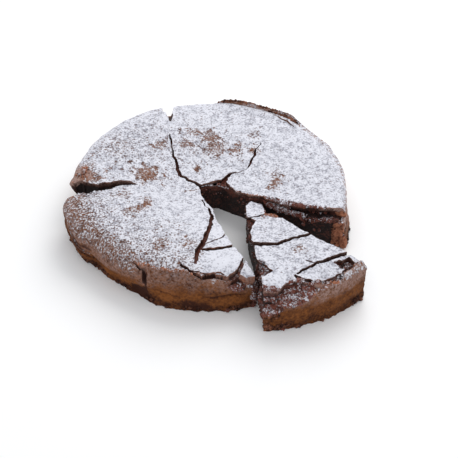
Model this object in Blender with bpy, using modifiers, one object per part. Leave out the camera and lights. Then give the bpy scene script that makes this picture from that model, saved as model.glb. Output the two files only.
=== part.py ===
"""A flourless chocolate tart, baked without a case, with one wedge cut and slid forward.

Sizes are in millimetres and MM turns them into Blender's metres. Plan points are (x, y)
from the axis of the round, with +Y to the back and Z up from the flat base. AXIS puts
that axis in the part's frame, whose origin is the centre of the whole outline's base.
The round and the wedge are one solid each. The crust's plates, cracks, broken places
and rim are relief in them.
"""
import math

import bmesh
import bpy
from mathutils import Vector, noise

MM = 0.001
AXIS = (-2.76, 9.12)

# The baked form
RADIUS = 120.0
CENTRE_HEIGHT = 28.0
RIM_HEIGHT = 37.5
SHOULDER_START = 104.0
SHOULDER_DROP = 9.0
FOOT_SPREAD = 0.8
FOOT_HEIGHT = 3.0
# Where the rim differs from an even round: azimuths in degrees, and height gained at the wall
RIM_CHANGES = ((-12.0, 166.0, 7.5), (206.0, 264.0, -6.5))

# The wedge keeps the round's form about its own centre, where it came to lie
WEDGE_CENTRE = (37.0, -18.5)

# Bumps in the crust, as height and spacing
BUMPS = ((0.9, 38.0), (0.5, 15.0))
WALL_BUMPS = ((1.0, 42.0), (0.7, 13.0))
CRUMB_BUMPS = ((0.8, 12.0), (0.5, 5.0))

# Cracks close towards their floor, and wide ones are deep
CRACK_BASE_DEPTH = 1.6
CRACK_DEPTH_PER_WIDTH = 0.9
CRACK_FLOOR_SHARE = 0.45
CRACK_WANDER = 1.4
CRACK_WANDER_SPACING = 4.0

# The ledge of crumb beside the right-hand cut, and the hollow over it under the crust
LEDGE_HEIGHT = 26.5
HOLLOW_DEPTH = 6.0
HOLLOW_X = (46.0, 112.0)
CRUST_THICKNESS = 2.6

# Cutters reach past the tart above and below, and their stretches are no longer than this
CLEAR_ABOVE = 60.0
CLEAR_BELOW = -6.0
LONGEST_STRETCH = 9.0

# Turned blanks: steps round the axis, rings on the top, rings on the shoulder, rows on the wall
ROUND_STEPS, ROUND_RINGS = 96, (12, 4, 4)
WEDGE_STEPS, WEDGE_RINGS = 144, (16, 5, 5)
MERGE_DISTANCE = 0.00001

# Plan points (x, y) of the two cuts, from the middle outwards
LEFT_CUT = ((-8, 0), (-5, -14), (0, -23), (5, -34), (8, -50), (12, -60), (15, -71),
            (24, -90), (29, -100), (34, -107), (37, -113), (39, -119), (44, -134))
RIGHT_CUT = ((-2, 4), (10, 4), (22, -3), (34, -10), (50, -17.5), (65, -26), (80, -33),
             (100, -40), (116, -44), (140, -52))
RIGHT_CRUST = ((-6, 3), (0, 6), (7, 8), (14, 9), (18, 4), (25, -8), (35, -13), (48, -17),
               (58, -25), (66, -30), (80, -35), (95, -37), (104, -36), (113, -33), (140, -34))
NOTCH_MOUTH = ((150, -150), (60, -165))

# Cracks of the round: plan x, plan y, width
ROUND_CRACKS = {
    "crack_back": ((-37, 68, 0.8), (-34, 60, 2.2), (-34, 52, 0.9), (-31, 38, 2.0), (-28, 26, 2.6),
                   (-25, 14, 3.0), (-14, 6, 2.8), (-4, -1, 3.6)),
    "crack_left": ((-60, -7, 0.8), (-70, -6, 2.0), (-80, -10, 3.2), (-90, -14, 5.0),
                   (-100, -18, 7.5), (-110, -20, 11.0), (-126, -22, 15.0)),
    "crack_right": ((48, 58, 0.7), (43.5, 48, 1.5), (41, 40, 2.6), (38, 30, 2.2), (34, 22, 1.1),
                    (27, 18, 1.3), (21, 18, 3.2), (17, 13, 4.0), (13, 6, 5.0)),
    "crack_beside_notch": ((-5, -20, 1.2), (1, -33, 2.0), (4, -45, 3.0), (2, -60, 3.2),
                           (-1, -76, 4.0), (-5, -90, 4.4), (-8, -98, 3.2), (-8, -107, 2.0)),
    "crack_shard_near": ((17, -66, 1.4), (12, -73, 1.6), (5, -78, 1.2), (0, -83, 1.2)),
    "crack_shard_far": ((26, -82, 3.2), (16, -86, 2.6), (6, -89, 2.6), (-4, -91, 3.2)),
    "crack_front_rim": ((-17, -110, 1.4), (-12, -115, 2.4), (-2, -117.5, 2.2), (8, -117, 2.4),
                        (18, -117, 2.8), (27, -112, 2.8), (33, -104, 2.0)),
    "crack_back_rim": ((36, 106, 0.8), (50, 102, 1.6), (66, 94, 1.8), (78, 86, 0.8)),
    "crack_front_left": ((-58, -99, 0.9), (-52, -104, 1.8), (-47, -107, 2.2)),
}
# Splits down through the rim and the wall: plan x, plan y, width, and height of the floor
ROUND_SPLITS = {
    "split_wall": ((-46, -104, 1.2, 23), (-46.5, -110, 3.4, 16), (-47, -124, 5.0, 9)),
    "split_back": ((-36, 88, 1.5, 35), (-38, 98, 6.0, 30), (-43, 126, 16.0, 22)),
    "split_left": ((-96, -16, 4.0, 26), (-108, -16, 10.0, 14), (-132, -17, 20.0, 3)),
}
# Places where the crust has broken away: plan x, plan y and height of the crumb left there
ROUND_PITS = {
    "pit_corner": ((17, -116, 28), (25, -112, 29), (31, -108, 28), (34, -104, 27),
                   (46, -112, 13), (50, -126, 9), (36, -132, 11), (20, -130, 22)),
}

# Plan points of the wedge at its base and at its top: tip, left side outwards, right side inwards
WEDGE_BASE = ((36.5, -17.0), (33.5, -24), (34.0, -38), (35.0, -52), (37.0, -66), (39.2, -78),
              (41.2, -92), (42.3, -106), (43.2, -120), (44.4, -138), (46, -160))
WEDGE_TOP = ((38.5, -19.5), (31.5, -24), (31.5, -38), (32.5, -52), (34.0, -66), (35.5, -78),
             (37.0, -92), (39.5, -106), (41.0, -120), (43.0, -138), (45, -160))
WEDGE_BASE_RIGHT = ((160, -131), (126, -99.5), (106, -83), (92, -70), (78, -57), (62, -40),
                    (48, -25))
WEDGE_TOP_RIGHT = ((156, -133), (121, -103), (104, -89), (90, -77), (78, -64), (62, -42),
                   (48, -22))

WEDGE_CRACKS = {
    "crack_tip": ((28, -42, 1.6), (36, -41.5, 1.4), (45, -38, 1.8), (54, -35, 2.4), (64, -33, 2.4)),
    "crack_middle": ((28, -78, 3.4), (45, -79, 2.6), (56, -78, 2.2), (68, -72, 1.8), (90, -62, 1.8)),
    "crack_outer": ((116, -90, 3.4), (103, -93, 3.2), (90, -100, 2.6), (78, -107, 1.7),
                    (68, -115, 1.6)),
    "crack_branch": ((76, -100.5, 1.5), (82, -103, 1.5), (86, -103, 1.5)),
    "crack_wedge_rim": ((66, -117, 2.6), (73, -121, 3.2), (83, -122.5, 3.2), (93, -119.5, 3.2),
                        (103, -112.5, 3.4), (112, -104, 5.0)),
}
WEDGE_PITS = {
    "pit_wall": ((36, -128, 20), (45, -131, 27), (53, -131, 29), (60, -124.5, 31),
                 (70, -122, 32), (80, -125, 33), (92, -126, 36), (84, -140, 35), (62, -148, 22),
                 (48, -152, 9), (38, -150, 6)),
    "pit_left": ((30, -96, 29), (37, -98, 31), (47, -112, 31), (42, -118, 29), (32, -118, 26)),
    "pit_right": ((101, -100, 32), (111, -96, 31), (116, -106, 31), (106, -108, 32)),
}

# Parts of the rim that stand up: azimuths in degrees, height gained and the least radius
BACK_LIP = (96.0, 36.0, 7.5, 117.0)
WEDGE_RIDGE = (-38.0, -80.0, 4.6, 114.5)
# Parts of the wall pushed in or out: azimuths in degrees, distance, and the heights
# where that is nothing and all of it
ROUND_SPREADS = ((188.0, 222.0, 5.5, -6.0, 14.0), (-36.0, 0.0, 4.5, 26.0, 8.0),
                 (154.0, 184.0, -2.0, -9.0, 0.0), (150.0, 196.0, -7.0, 31.0, 24.0),
                 (210.0, 252.0, -4.5, 26.0, 8.0), (-2.0, 66.0, 3.2, 10.0, 34.0))
WEDGE_SPREADS = ()
# One plate of the crust rides on its neighbour along this seam: plan x, plan y
OVERLAP_SEAM = ((-25, 13), (-38, 7), (-48, 0), (-60, -6))
OVERLAP_STEP = 1.8
OVERLAP_RUN = 14.0

COLOURS = {
    "tart_round": (0.30, 0.22, 0.20, 1.0),
    "cut_wedge": (0.36, 0.26, 0.23, 1.0),
}
CRUST_ROUGHNESS = 0.85


def clear_scene():
    """Remove whatever the file holds."""
    for old in list(bpy.data.objects):
        bpy.data.objects.remove(old, do_unlink=True)


def new_collection(name):
    """A collection linked to the scene."""
    group = bpy.data.collections.new(name)
    bpy.context.scene.collection.children.link(group)
    return group


def crust_material(name):
    """Sugared chocolate crust, matt all over."""
    material = bpy.data.materials.new(name + "_crust")
    material.use_nodes = True
    shader = material.node_tree.nodes["Principled BSDF"]
    shader.inputs["Base Color"].default_value = COLOURS[name]
    shader.inputs["Roughness"].default_value = CRUST_ROUGHNESS
    shader.inputs["Metallic"].default_value = 0.0
    return material


def smooth_step(value):
    """Rise smoothly from 0 to 1 as value goes from 0 to 1."""
    value = min(max(value, 0.0), 1.0)
    return value * value * (3.0 - 2.0 * value)


def window(angle, start, end):
    """1 between two azimuths, fading to 0 over a quarter of the span at each end."""
    low, high = min(start, end), max(start, end)
    middle = (low + high) / 2.0
    offset = (angle - middle + 180.0) % 360.0 - 180.0
    edge = (high - low) / 2.0 - abs(offset)
    return smooth_step(edge / ((high - low) / 4.0))


def bumps(layers, x, y, z=0.0):
    """Sum of the noise layers at a point, each a height and a spacing."""
    return sum(height * noise.noise(Vector((x, y, z)) / spacing) for height, spacing in layers)


def crust_height(radius):
    """Height of the crust's top where the rim is rounded, before its bumps."""
    rise = (RIM_HEIGHT - CENTRE_HEIGHT) * smooth_step(radius / SHOULDER_START)
    return CENTRE_HEIGHT + rise - SHOULDER_DROP * shoulder_share(radius)


def shoulder_share(radius):
    """How far a place is down the rim's quarter round, from 0 at its start to 1 at the wall."""
    bend = min(max((radius - SHOULDER_START) / (RADIUS - SHOULDER_START), 0.0), 1.0)
    return 1.0 - math.sqrt(1.0 - bend * bend)


def rim_gain(radius, angle, height):
    """Sharp rim at the back and slumped one at the front left, fading down the wall."""
    gain = sum(change * window(angle, start, end) for start, end, change in RIM_CHANGES)
    return gain * shoulder_share(radius) * smooth_step(height / (RIM_HEIGHT - SHOULDER_DROP))


def height_at(x, y, centre):
    """Height of the crust's top, with its bumps, at a plan point."""
    x_out, y_out = x - centre[0], y - centre[1]
    radius = min(math.hypot(x_out, y_out), RADIUS)
    height = crust_height(radius)
    if centre != WEDGE_CENTRE:
        height += rim_gain(radius, math.degrees(math.atan2(y_out, x_out)), height)
    return height + bumps(BUMPS, x, y)


def profile_points(rings, shoulder_rings, wall_rows):
    """Half section of the blank, down its outer side from the top's middle to the base's."""
    radii = [SHOULDER_START * i / rings for i in range(rings + 1)]
    for i in range(1, shoulder_rings + 1):
        turn = math.sin(i / shoulder_rings * math.pi / 2)
        radii.append(SHOULDER_START + (RADIUS - SHOULDER_START) * turn)
    points = [(radius, crust_height(radius)) for radius in radii]
    top = points[-1][1]
    for i in range(1, wall_rows + 1):
        points.append((RADIUS, top + (FOOT_HEIGHT - top) * i / wall_rows))
    points.append((RADIUS + FOOT_SPREAD, 0.0))
    points.append((RADIUS / 2.0, 0.0))
    points.append((0.0, 0.0))
    return points


def turned_blank(name, profile, steps):
    """Turn a half section into a closed mesh about the Z axis."""
    mesh = bpy.data.meshes.new(name + "_profile")
    edges = [(i, i + 1) for i in range(len(profile) - 1)]
    mesh.from_pydata([(radius * MM, 0.0, height * MM) for radius, height in profile], edges, [])
    blank = bpy.data.objects.new(name, mesh)
    bpy.context.scene.collection.objects.link(blank)
    screw = blank.modifiers.new("turn", "SCREW")
    screw.steps = steps
    screw.render_steps = steps
    screw.use_merge_vertices = True
    screw.merge_threshold = MERGE_DISTANCE
    screw.use_smooth_shade = False
    turned = bpy.data.meshes.new_from_object(blank.evaluated_get(bpy.context.evaluated_depsgraph_get()))
    bpy.data.objects.remove(blank, do_unlink=True)
    bpy.data.meshes.remove(mesh)
    turned.name = name
    return turned


def wall_push(angle, height, spreads):
    """How far the wall stands out from the circle at an azimuth and a height."""
    push = 0.0
    for start, end, distance, none_at, all_at in spreads:
        share = smooth_step((height - none_at) / (all_at - none_at))
        push += distance * window(angle, start, end) * share
    return push


def shape_blank(mesh, centre, lip, spreads):
    """Move the blank to its centre and give it bumps, a standing rim and an uneven wall."""
    lip_start, lip_end, lip_height, lip_radius = lip
    for vertex in mesh.vertices:
        x, y, z = (value / MM for value in vertex.co)
        radius = math.hypot(x, y)
        angle = math.degrees(math.atan2(y, x))
        gain = smooth_step(z / CENTRE_HEIGHT) * bumps(BUMPS, x + centre[0], y + centre[1])
        if centre != WEDGE_CENTRE:
            gain += rim_gain(radius, angle, z)
        if radius > lip_radius and z > CENTRE_HEIGHT:
            gain += lip_height * window(angle, lip_start, lip_end)
        if radius > SHOULDER_START:
            scale = 1.0 + (bumps(WALL_BUMPS, x, y, z * 1.5) + wall_push(angle, z, spreads)) / radius
            x, y = x * scale, y * scale
        vertex.co = Vector((x + centre[0] + AXIS[0], y + centre[1] + AXIS[1], z + gain)) * MM


def loft(name, rings):
    """Closed mesh object through rings with equal numbers of points, capped at both ends."""
    shell = bmesh.new()
    rows = []
    for ring in rings:
        rows.append([shell.verts.new(Vector((x + AXIS[0], y + AXIS[1], z)) * MM) for x, y, z in ring])
    count = len(rows[0])
    for lower, upper in zip(rows, rows[1:]):
        for i in range(count):
            j = (i + 1) % count
            shell.faces.new((lower[i], lower[j], upper[j], upper[i]))
    shell.faces.new(rows[0][::-1])
    shell.faces.new(rows[-1])
    bmesh.ops.recalc_face_normals(shell, faces=shell.faces)
    mesh = bpy.data.meshes.new(name)
    shell.to_mesh(mesh)
    shell.free()
    return bpy.data.objects.new(name, mesh)


def store_cutter(cutter, group):
    """Keep a cutter in its collection, out of the render."""
    group.objects.link(cutter)
    cutter.hide_render = True
    cutter.display_type = "WIRE"
    return cutter


def sideways(points, index):
    """Unit vector across a plan line at one of its points."""
    before = Vector(points[max(index - 1, 0)][:2])
    after = Vector(points[min(index + 1, len(points) - 1)][:2])
    along = (after - before).normalized()
    return Vector((-along.y, along.x))


def wandering(points):
    """Plan line with a middle point added to each stretch, moved a little to one side."""
    line = []
    for i, point in enumerate(points[:-1]):
        line.append(Vector(point))
        middle = (Vector(point) + Vector(points[i + 1])) / 2.0
        shift = sideways(points, i) * bumps(((CRACK_WANDER, CRACK_WANDER_SPACING),), middle[0], middle[1])
        middle[0] += shift.x
        middle[1] += shift.y
        line.append(middle)
    line.append(Vector(points[-1]))
    return line


def crack_cutter(name, points, centre):
    """A crack with upright sides above the crust that closes towards its floor below it."""
    line = wandering(points)
    rings = []
    for i, point in enumerate(line):
        across = sideways(line, i)
        half = point[2] / 2.0
        surface = height_at(point[0], point[1], centre)
        floor = surface - CRACK_BASE_DEPTH - CRACK_DEPTH_PER_WIDTH * point[2]
        if len(point) > 3:
            floor = point[3]
        steps = ((half, CLEAR_ABOVE), (half, surface), (half * CRACK_FLOOR_SHARE, floor),
                 (-half * CRACK_FLOOR_SHARE, floor), (-half, surface), (-half, CLEAR_ABOVE))
        rings.append([(point[0] + across.x * side, point[1] + across.y * side, z) for side, z in steps])
    return loft(name, rings)


def pit_cutter(name, points):
    """A broken place: upright sides down to an uneven floor that dips in the middle."""
    count = len(points)
    middle = [sum(point[axis] for point in points) / count for axis in range(3)]
    rings = [[(x, y, CLEAR_ABOVE) for x, y, z in points], list(points)]
    for share, dip in ((0.7, 1.5), (0.35, 0.5)):
        ring = []
        for x, y, z in points:
            inner = [middle[axis] + (value - middle[axis]) * share for axis, value in enumerate((x, y, z))]
            inner[2] += bumps(CRUMB_BUMPS, inner[0] * 2.0, inner[1] * 2.0) * 2.0 - dip
            ring.append(inner)
        rings.append(ring)
    return loft(name, rings)


def rough_prism(name, lower, upper, heights):
    """Prism between two outlines, whose sides are as rough as crumb."""
    rings = []
    for height in heights:
        share = (height - heights[0]) / (heights[-1] - heights[0])
        ring = []
        for low, high in zip(lower, upper):
            x = low[0] + (high[0] - low[0]) * share
            y = low[1] + (high[1] - low[1]) * share
            ring.append((x + bumps(CRUMB_BUMPS, x, y, height * 2.0),
                         y + bumps(CRUMB_BUMPS, y + 50.0, x, height * 2.0), height))
        rings.append(ring)
    return loft(name, rings)


def finer(points, longest):
    """Plan line whose stretches are divided until none is longer than a length."""
    line = []
    for start, end in zip(points, points[1:]):
        start, end = Vector(start), Vector(end)
        parts = max(1, math.ceil((end - start).length / longest))
        line.extend(tuple(start.lerp(end, i / parts)) for i in range(parts))
    line.append(tuple(points[-1]))
    return line


def notch_cutters():
    """The wedge's empty place: plain below the ledge, and under the crust's own edge above it."""
    left = finer(LEFT_CUT, LONGEST_STRETCH)
    low = left[::-1] + finer(RIGHT_CUT, LONGEST_STRETCH) + list(NOTCH_MOUTH)
    high = left[::-1] + finer(RIGHT_CRUST, LONGEST_STRETCH) + list(NOTCH_MOUTH)
    low_rows = [CLEAR_BELOW] + [LEDGE_HEIGHT * i / 4.0 for i in range(5)]
    high_rows = [LEDGE_HEIGHT - 0.5, LEDGE_HEIGHT + 5.0, LEDGE_HEIGHT + 10.0, CLEAR_ABOVE]
    return [rough_prism("notch_low", low, low, low_rows), rough_prism("notch_high", high, high, high_rows)]


def hollow_cutter():
    """The hollow under the crust beside the right-hand cut, open to the notch."""
    floor, open_reach = LEDGE_HEIGHT - 0.2, 14.0
    line = [point for point in finer(RIGHT_CRUST, LONGEST_STRETCH) if HOLLOW_X[0] < point[0] < HOLLOW_X[1]]
    rings = []
    for i, (x, y) in enumerate(line):
        across = sideways(line, i)
        ends = smooth_step(i / 2.0) * smooth_step(len(line) - 1 - i + 0.4)
        roof = height_at(x, y, (0.0, 0.0)) - CRUST_THICKNESS
        inside = 0.8 + HOLLOW_DEPTH * ends
        steps = ((-open_reach, floor), (inside, floor), (inside, roof - 1.0),
                 (inside - 2.0, roof), (-open_reach, roof))
        rings.append([(x + across.x * side, y + across.y * side, z) for side, z in steps])
    return loft("hollow_right", rings)


def overlap_cutter():
    """Lower the plate behind the seam, most at the seam, so that the front plate rides on it."""
    line = finer(OVERLAP_SEAM, 8.0)
    rings = []
    for i, (x, y) in enumerate(line):
        across = sideways(line, i) * -1.0
        fade = smooth_step(min(i, len(line) - 1 - i) / 1.5 + 0.25)
        far_x, far_y = x + across.x * OVERLAP_RUN, y + across.y * OVERLAP_RUN
        near = height_at(x, y, (0.0, 0.0)) - OVERLAP_STEP * fade
        far = height_at(far_x, far_y, (0.0, 0.0)) + 0.4
        rings.append([(x, y, near), (far_x, far_y, far), (far_x, far_y, CLEAR_ABOVE), (x, y, CLEAR_ABOVE)])
    return loft("overlap_step", rings)


def wedge_prism():
    """The form that the two cuts leave, wider than the tart at its outer end."""
    lower = WEDGE_BASE + WEDGE_BASE_RIGHT
    upper = WEDGE_TOP + WEDGE_TOP_RIGHT
    dense_lower, dense_upper = [], []
    for i in range(len(lower)):
        j = (i + 1) % len(lower)
        for share in (0.0, 0.5):
            dense_lower.append(tuple(Vector(lower[i]).lerp(Vector(lower[j]), share)))
            dense_upper.append(tuple(Vector(upper[i]).lerp(Vector(upper[j]), share)))
    rows = [CLEAR_BELOW, 0.5, 8.0, 16.0, 24.0, 31.0, 38.0, CLEAR_ABOVE]
    return rough_prism("wedge_prism", dense_lower, dense_upper, rows)


def apply_boolean(target, cutters, operation):
    """Cut or keep a solid with each cutter in turn."""
    for cutter in cutters:
        modifier = target.modifiers.new(cutter.name, "BOOLEAN")
        modifier.operation = operation
        modifier.solver = "MANIFOLD"
        modifier.object = cutter


def make_round(parts, cutter_group):
    """The round with its empty place, cracks, splits and broken corner."""
    mesh = turned_blank("tart_round", profile_points(*ROUND_RINGS), ROUND_STEPS)
    shape_blank(mesh, (0.0, 0.0), BACK_LIP, ROUND_SPREADS)
    tart = bpy.data.objects.new("tart_round", mesh)
    parts.objects.link(tart)
    cutters = notch_cutters() + [hollow_cutter(), overlap_cutter()]
    cutters += [crack_cutter(name, points, (0.0, 0.0)) for name, points in ROUND_CRACKS.items()]
    cutters += [crack_cutter(name, points, (0.0, 0.0)) for name, points in ROUND_SPLITS.items()]
    cutters += [pit_cutter(name, points) for name, points in ROUND_PITS.items()]
    apply_boolean(tart, [store_cutter(cutter, cutter_group) for cutter in cutters], "DIFFERENCE")
    return tart


def make_wedge(parts, cutter_group):
    """The wedge, with the round's form about its own centre."""
    mesh = turned_blank("cut_wedge", profile_points(*WEDGE_RINGS), WEDGE_STEPS)
    shape_blank(mesh, WEDGE_CENTRE, WEDGE_RIDGE, WEDGE_SPREADS)
    wedge = bpy.data.objects.new("cut_wedge", mesh)
    parts.objects.link(wedge)
    apply_boolean(wedge, [store_cutter(wedge_prism(), cutter_group)], "INTERSECT")
    cutters = [crack_cutter(name, points, WEDGE_CENTRE) for name, points in WEDGE_CRACKS.items()]
    cutters += [pit_cutter(name, points) for name, points in WEDGE_PITS.items()]
    apply_boolean(wedge, [store_cutter(cutter, cutter_group) for cutter in cutters], "DIFFERENCE")
    return wedge


def main():
    clear_scene()
    parts = new_collection("chocolate_tart")
    cutter_group = new_collection("cutters")
    for solid in (make_round(parts, cutter_group), make_wedge(parts, cutter_group)):
        solid.data.materials.append(crust_material(solid.name))


main()
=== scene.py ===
"""Looks of the chocolate tart: baked crust under icing sugar, moist crumb and loose crumbs.

Sizes are in millimetres and MM turns them into metres. Plan points are (x, y) from the
axis of the round, with +Y to the back and Z up from the flat base, and AXIS puts that
axis in the part's frame. The round and the wedge each get a crust, which is a closed
skin over the top and down the wall, and a crumb core inside it.
"""
import math
import random

import bmesh
import bpy
from mathutils import Matrix, Vector, kdtree, noise
from mathutils.bvhtree import BVHTree


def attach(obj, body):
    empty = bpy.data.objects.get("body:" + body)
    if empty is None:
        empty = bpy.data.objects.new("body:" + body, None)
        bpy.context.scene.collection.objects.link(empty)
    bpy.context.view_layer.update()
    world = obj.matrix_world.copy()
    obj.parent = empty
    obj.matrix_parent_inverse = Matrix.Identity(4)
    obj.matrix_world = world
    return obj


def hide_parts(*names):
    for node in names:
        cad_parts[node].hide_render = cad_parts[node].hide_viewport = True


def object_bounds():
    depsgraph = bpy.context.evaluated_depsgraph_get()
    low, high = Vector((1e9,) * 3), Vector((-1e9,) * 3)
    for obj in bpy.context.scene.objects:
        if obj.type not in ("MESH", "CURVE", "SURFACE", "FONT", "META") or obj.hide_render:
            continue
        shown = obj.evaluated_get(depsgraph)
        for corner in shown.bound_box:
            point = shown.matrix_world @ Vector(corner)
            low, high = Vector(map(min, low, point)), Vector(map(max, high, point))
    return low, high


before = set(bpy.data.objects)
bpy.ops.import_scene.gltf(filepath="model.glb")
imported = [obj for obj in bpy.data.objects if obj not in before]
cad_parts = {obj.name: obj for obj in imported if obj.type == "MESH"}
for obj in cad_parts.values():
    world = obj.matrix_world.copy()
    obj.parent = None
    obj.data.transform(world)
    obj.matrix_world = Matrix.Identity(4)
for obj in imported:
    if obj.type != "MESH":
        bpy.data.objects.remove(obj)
cad_low, cad_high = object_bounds()

MM = 0.001
AXIS = (-2.76, 9.12)
SEED = 20

# The baked form
RADIUS = 120.0
CENTRE_HEIGHT = 28.0
RIM_HEIGHT = 37.5
SHOULDER_START = 104.0
SHOULDER_DROP = 9.0
SHOULDER_LENGTH = 20.0
FOOT_HEIGHT = 3.0
# Distance out and height of the foot's last rings
FOOT_RINGS = ((0.56, 1.2), (0.8, 0.0))
SKIN = 3.0
# How far the crumb reaches into the crust, and the rings of its base: share of the radius and
# what part of the steps each has
CORE_OVERLAP = 0.5
CORE_BASE = ((0.6, 2), (0.3, 4))
RIM_CHANGES = ((-12, 166, 7.5), (206, 264, -6.5))

# The wedge keeps the round's form about its own centre, where it came to lie
ROUND_CENTRE = (0.0, 0.0)
WEDGE_CENTRE = (37.0, -18.5)

# Relief as height and spacing: of the whole form, of the crust, of the wall and of the crumb
BUMPS = ((0.9, 38.0), (0.5, 15.0))
CRUST_RELIEF = ((0.55, 8.0), (0.26, 3.0))
WALL_BUMPS = ((1.0, 42.0), (0.7, 13.0))
WALL_RELIEF = ((0.7, 7.0), (0.4, 2.8))
FOOT_RELIEF = ((1.2, 9.0), (1.1, 3.6), (0.9, 1.9))
FOOT_RELIEF_HEIGHT = 9.0
FOOT_INSET = 0.4
# How much closer the wall's bumps lie up the wall than along it: relief, foot and broad bumps
RELIEF_SQUEEZE, FOOT_SQUEEZE, BUMP_SQUEEZE = 1.2, 1.4, 1.5
CRUMB_BUMPS = ((0.8, 12.0), (0.5, 5.0), (0.45, 2.2))
CRUST_EDGE_JITTER = ((0.9, 7.0), (0.9, 3.0))
CRACK_JITTER = ((1.3, 5.0), (0.45, 1.9))
CRACK_SIDE_JITTER = ((0.5, 2.7),)
# Levels of the noise that keep its uses apart
LINE_LEVEL, LEFT_LEVEL, RIGHT_LEVEL, PIT_LEVEL = 7.0, 3.0, 9.0, 4.0
HOLLOW_LEVEL, HOLLOW_FLOOR_LEVEL, SPOT_LEVEL = 2.0, 5.0, 11.0

# Cracks close towards their floor, and the crust overhangs the crumb beside them
CRACK_BASE_DEPTH = 1.6
CRACK_DEPTH_PER_WIDTH = 0.9
CRACK_FLOOR_SHARE = 0.45
CRACK_UNDERCUT = 0.5
CRACK_SPACING = 1.5
CRACK_BELOW_SKIN = 0.2
CRACK_LEAST_DEPTH = 0.8
CRACK_END_STEPS = 5.0
CURL_HEIGHT = 0.7
CURL_REACH = 3.5
# Where the sides of a crack are bare: share of half its width, margin and fade
CRACK_SIDES = (0.95, 1.0, 0.6)

# The ledge of crumb beside the right-hand cut, and the hollow over it under the crust
LEDGE_HEIGHT = 26.5
HOLLOW_DEPTH = 6.0
HOLLOW_LEAST = 0.8
HOLLOW_ENDS = (5.0, 3.0)
HOLLOW_OVERLAP = 0.2
HOLLOW_OPEN = 14.0
HOLLOW_X = (46.0, 112.0)
CUT_RECESS = 0.9
# Rings of a pit's floor as shares of its outline, how rough the floor is and how it dips
PIT_RINGS = (0.88, 0.76, 0.64, 0.52, 0.4, 0.28, 0.16)
PIT_ROUGHNESS = 2.2
PIT_DIP = 1.5
PIT_DROP = 0.5

# How far the cutters reach past the tart, their highest rows, and the spacing of points
CLEAR_ABOVE = 60.0
CLEAR_BELOW = -6.0
HIGHEST_ROW = 46.0
WEDGE_HIGHEST_ROW = 44.0
CUT_SPACING = 1.5
CRUST_ROWS = 2.0
CRUMB_ROWS = 1.5
MOST_STEPS = 512
FEWEST_STEPS = 8
RING_SPACING = 1.25
INSIDE_TOP_SPACING = 7.0
INSIDE_WALL_SPACING = 8.0
CORE_SPACING = 4.0
# Edges sharper than this many degrees stay sharp: crust and core, flake, crumbs
SHARP_EDGE, SHARP_FLAKE, SHARP_CRUMB = 42.0, 40.0, 30.0

# Plan points (x, y) of the two cuts, from the middle outwards
LEFT_CUT = (
    (-8, 0), (-5, -14), (0, -23), (5, -34), (8, -50), (12, -60), (15, -71), (24, -90), (29, -100),
    (34, -107), (37, -113), (39, -119), (44, -134),
)
RIGHT_CUT = (
    (-2, 4), (10, 4), (22, -3), (34, -10), (50, -17.5), (65, -26), (80, -33), (100, -40), (116, -44),
    (140, -52),
)
RIGHT_CRUST = (
    (-6, 3), (0, 6), (7, 8), (14, 9), (18, 4), (25, -8), (35, -13), (48, -17), (58, -25), (66, -30),
    (80, -35), (95, -37), (104, -36), (113, -33), (140, -34),
)
NOTCH_MOUTH = ((150, -150), (60, -165))

# Cracks of the round: plan x, plan y, width
ROUND_CRACKS = {
    "crack_back": ((-37, 68, 0.8), (-34, 60, 2.2), (-34, 52, 0.9), (-31, 38, 2), (-28, 26, 2.6),
        (-25, 14, 3), (-14, 6, 2.8), (-4, -1, 3.6)),
    "crack_left": ((-60, -7, 0.8), (-70, -6, 2.4), (-80, -10, 4.4), (-90, -14, 7), (-100, -17, 9.5),
        (-110, -18, 13), (-126, -19, 18)),
    "crack_right": ((48, 58, 0.7), (43.5, 48, 1.5), (41, 40, 2.6), (38, 30, 2.2), (34, 22, 1.1),
        (27, 18, 1.3), (21, 18, 3.2), (17, 13, 4), (13, 6, 5)),
    "crack_beside_notch": ((-5, -20, 1.2), (1, -33, 2), (4, -45, 3), (2, -60, 3.2), (-1, -76, 4),
        (-5, -90, 4.4), (-8, -98, 3.2), (-8, -107, 2)),
    "crack_shard_near": ((17, -66, 1.4), (12, -73, 1.6), (5, -78, 1.2), (0, -83, 1.2)),
    "crack_shard_far": ((26, -82, 3.2), (16, -86, 2.6), (6, -89, 2.6), (-4, -91, 3.2)),
    "crack_front_rim": ((-19, -107, 1.6), (-13, -114, 3.2), (-3, -117, 2.6), (8, -116.5, 2.8),
        (17, -117, 3.2), (25, -112, 3.4), (28.5, -103, 2.8), (30, -92, 1.8)),
    "crack_layer": ((-12, -112.6, 0.9), (-3, -114.6, 1.2), (6, -113.8, 1.3), (14, -114.4, 1)),
    "crack_back_rim": ((61, 98.5, 0.7), (67, 94, 1.2), (74, 88, 1.8), (80, 81.5, 0.9)),
    "crack_front_left": ((-57, -101, 0.9), (-50, -106.5, 2), (-44, -109.5, 2.6)),
}
# Splits down through the rim and the wall: plan x, plan y, width, and height of the floor
ROUND_SPLITS = {
    "split_wall": ((-45, -107, 2.2, 22), (-47, -112, 6.5, 17.5), (-49, -124, 9, 15)),
    "split_back": ((-36, 88, 1.5, 35), (-38, 98, 6, 30), (-43, 126, 16, 22)),
    "split_left": ((-94, -15, 4, 24), (-107, -15, 12, 9), (-132, -15, 24, 1)),
}
# Places where the crust has broken away: plan x, plan y and height of the crumb left there
ROUND_PITS = {
    "pit_corner": ((15, -118, 25), (24, -113.5, 26), (31, -115, 26), (38, -113, 22), (46, -116, 13),
        (50, -126, 7), (36, -132, 9), (19, -131, 18)),
}

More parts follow.
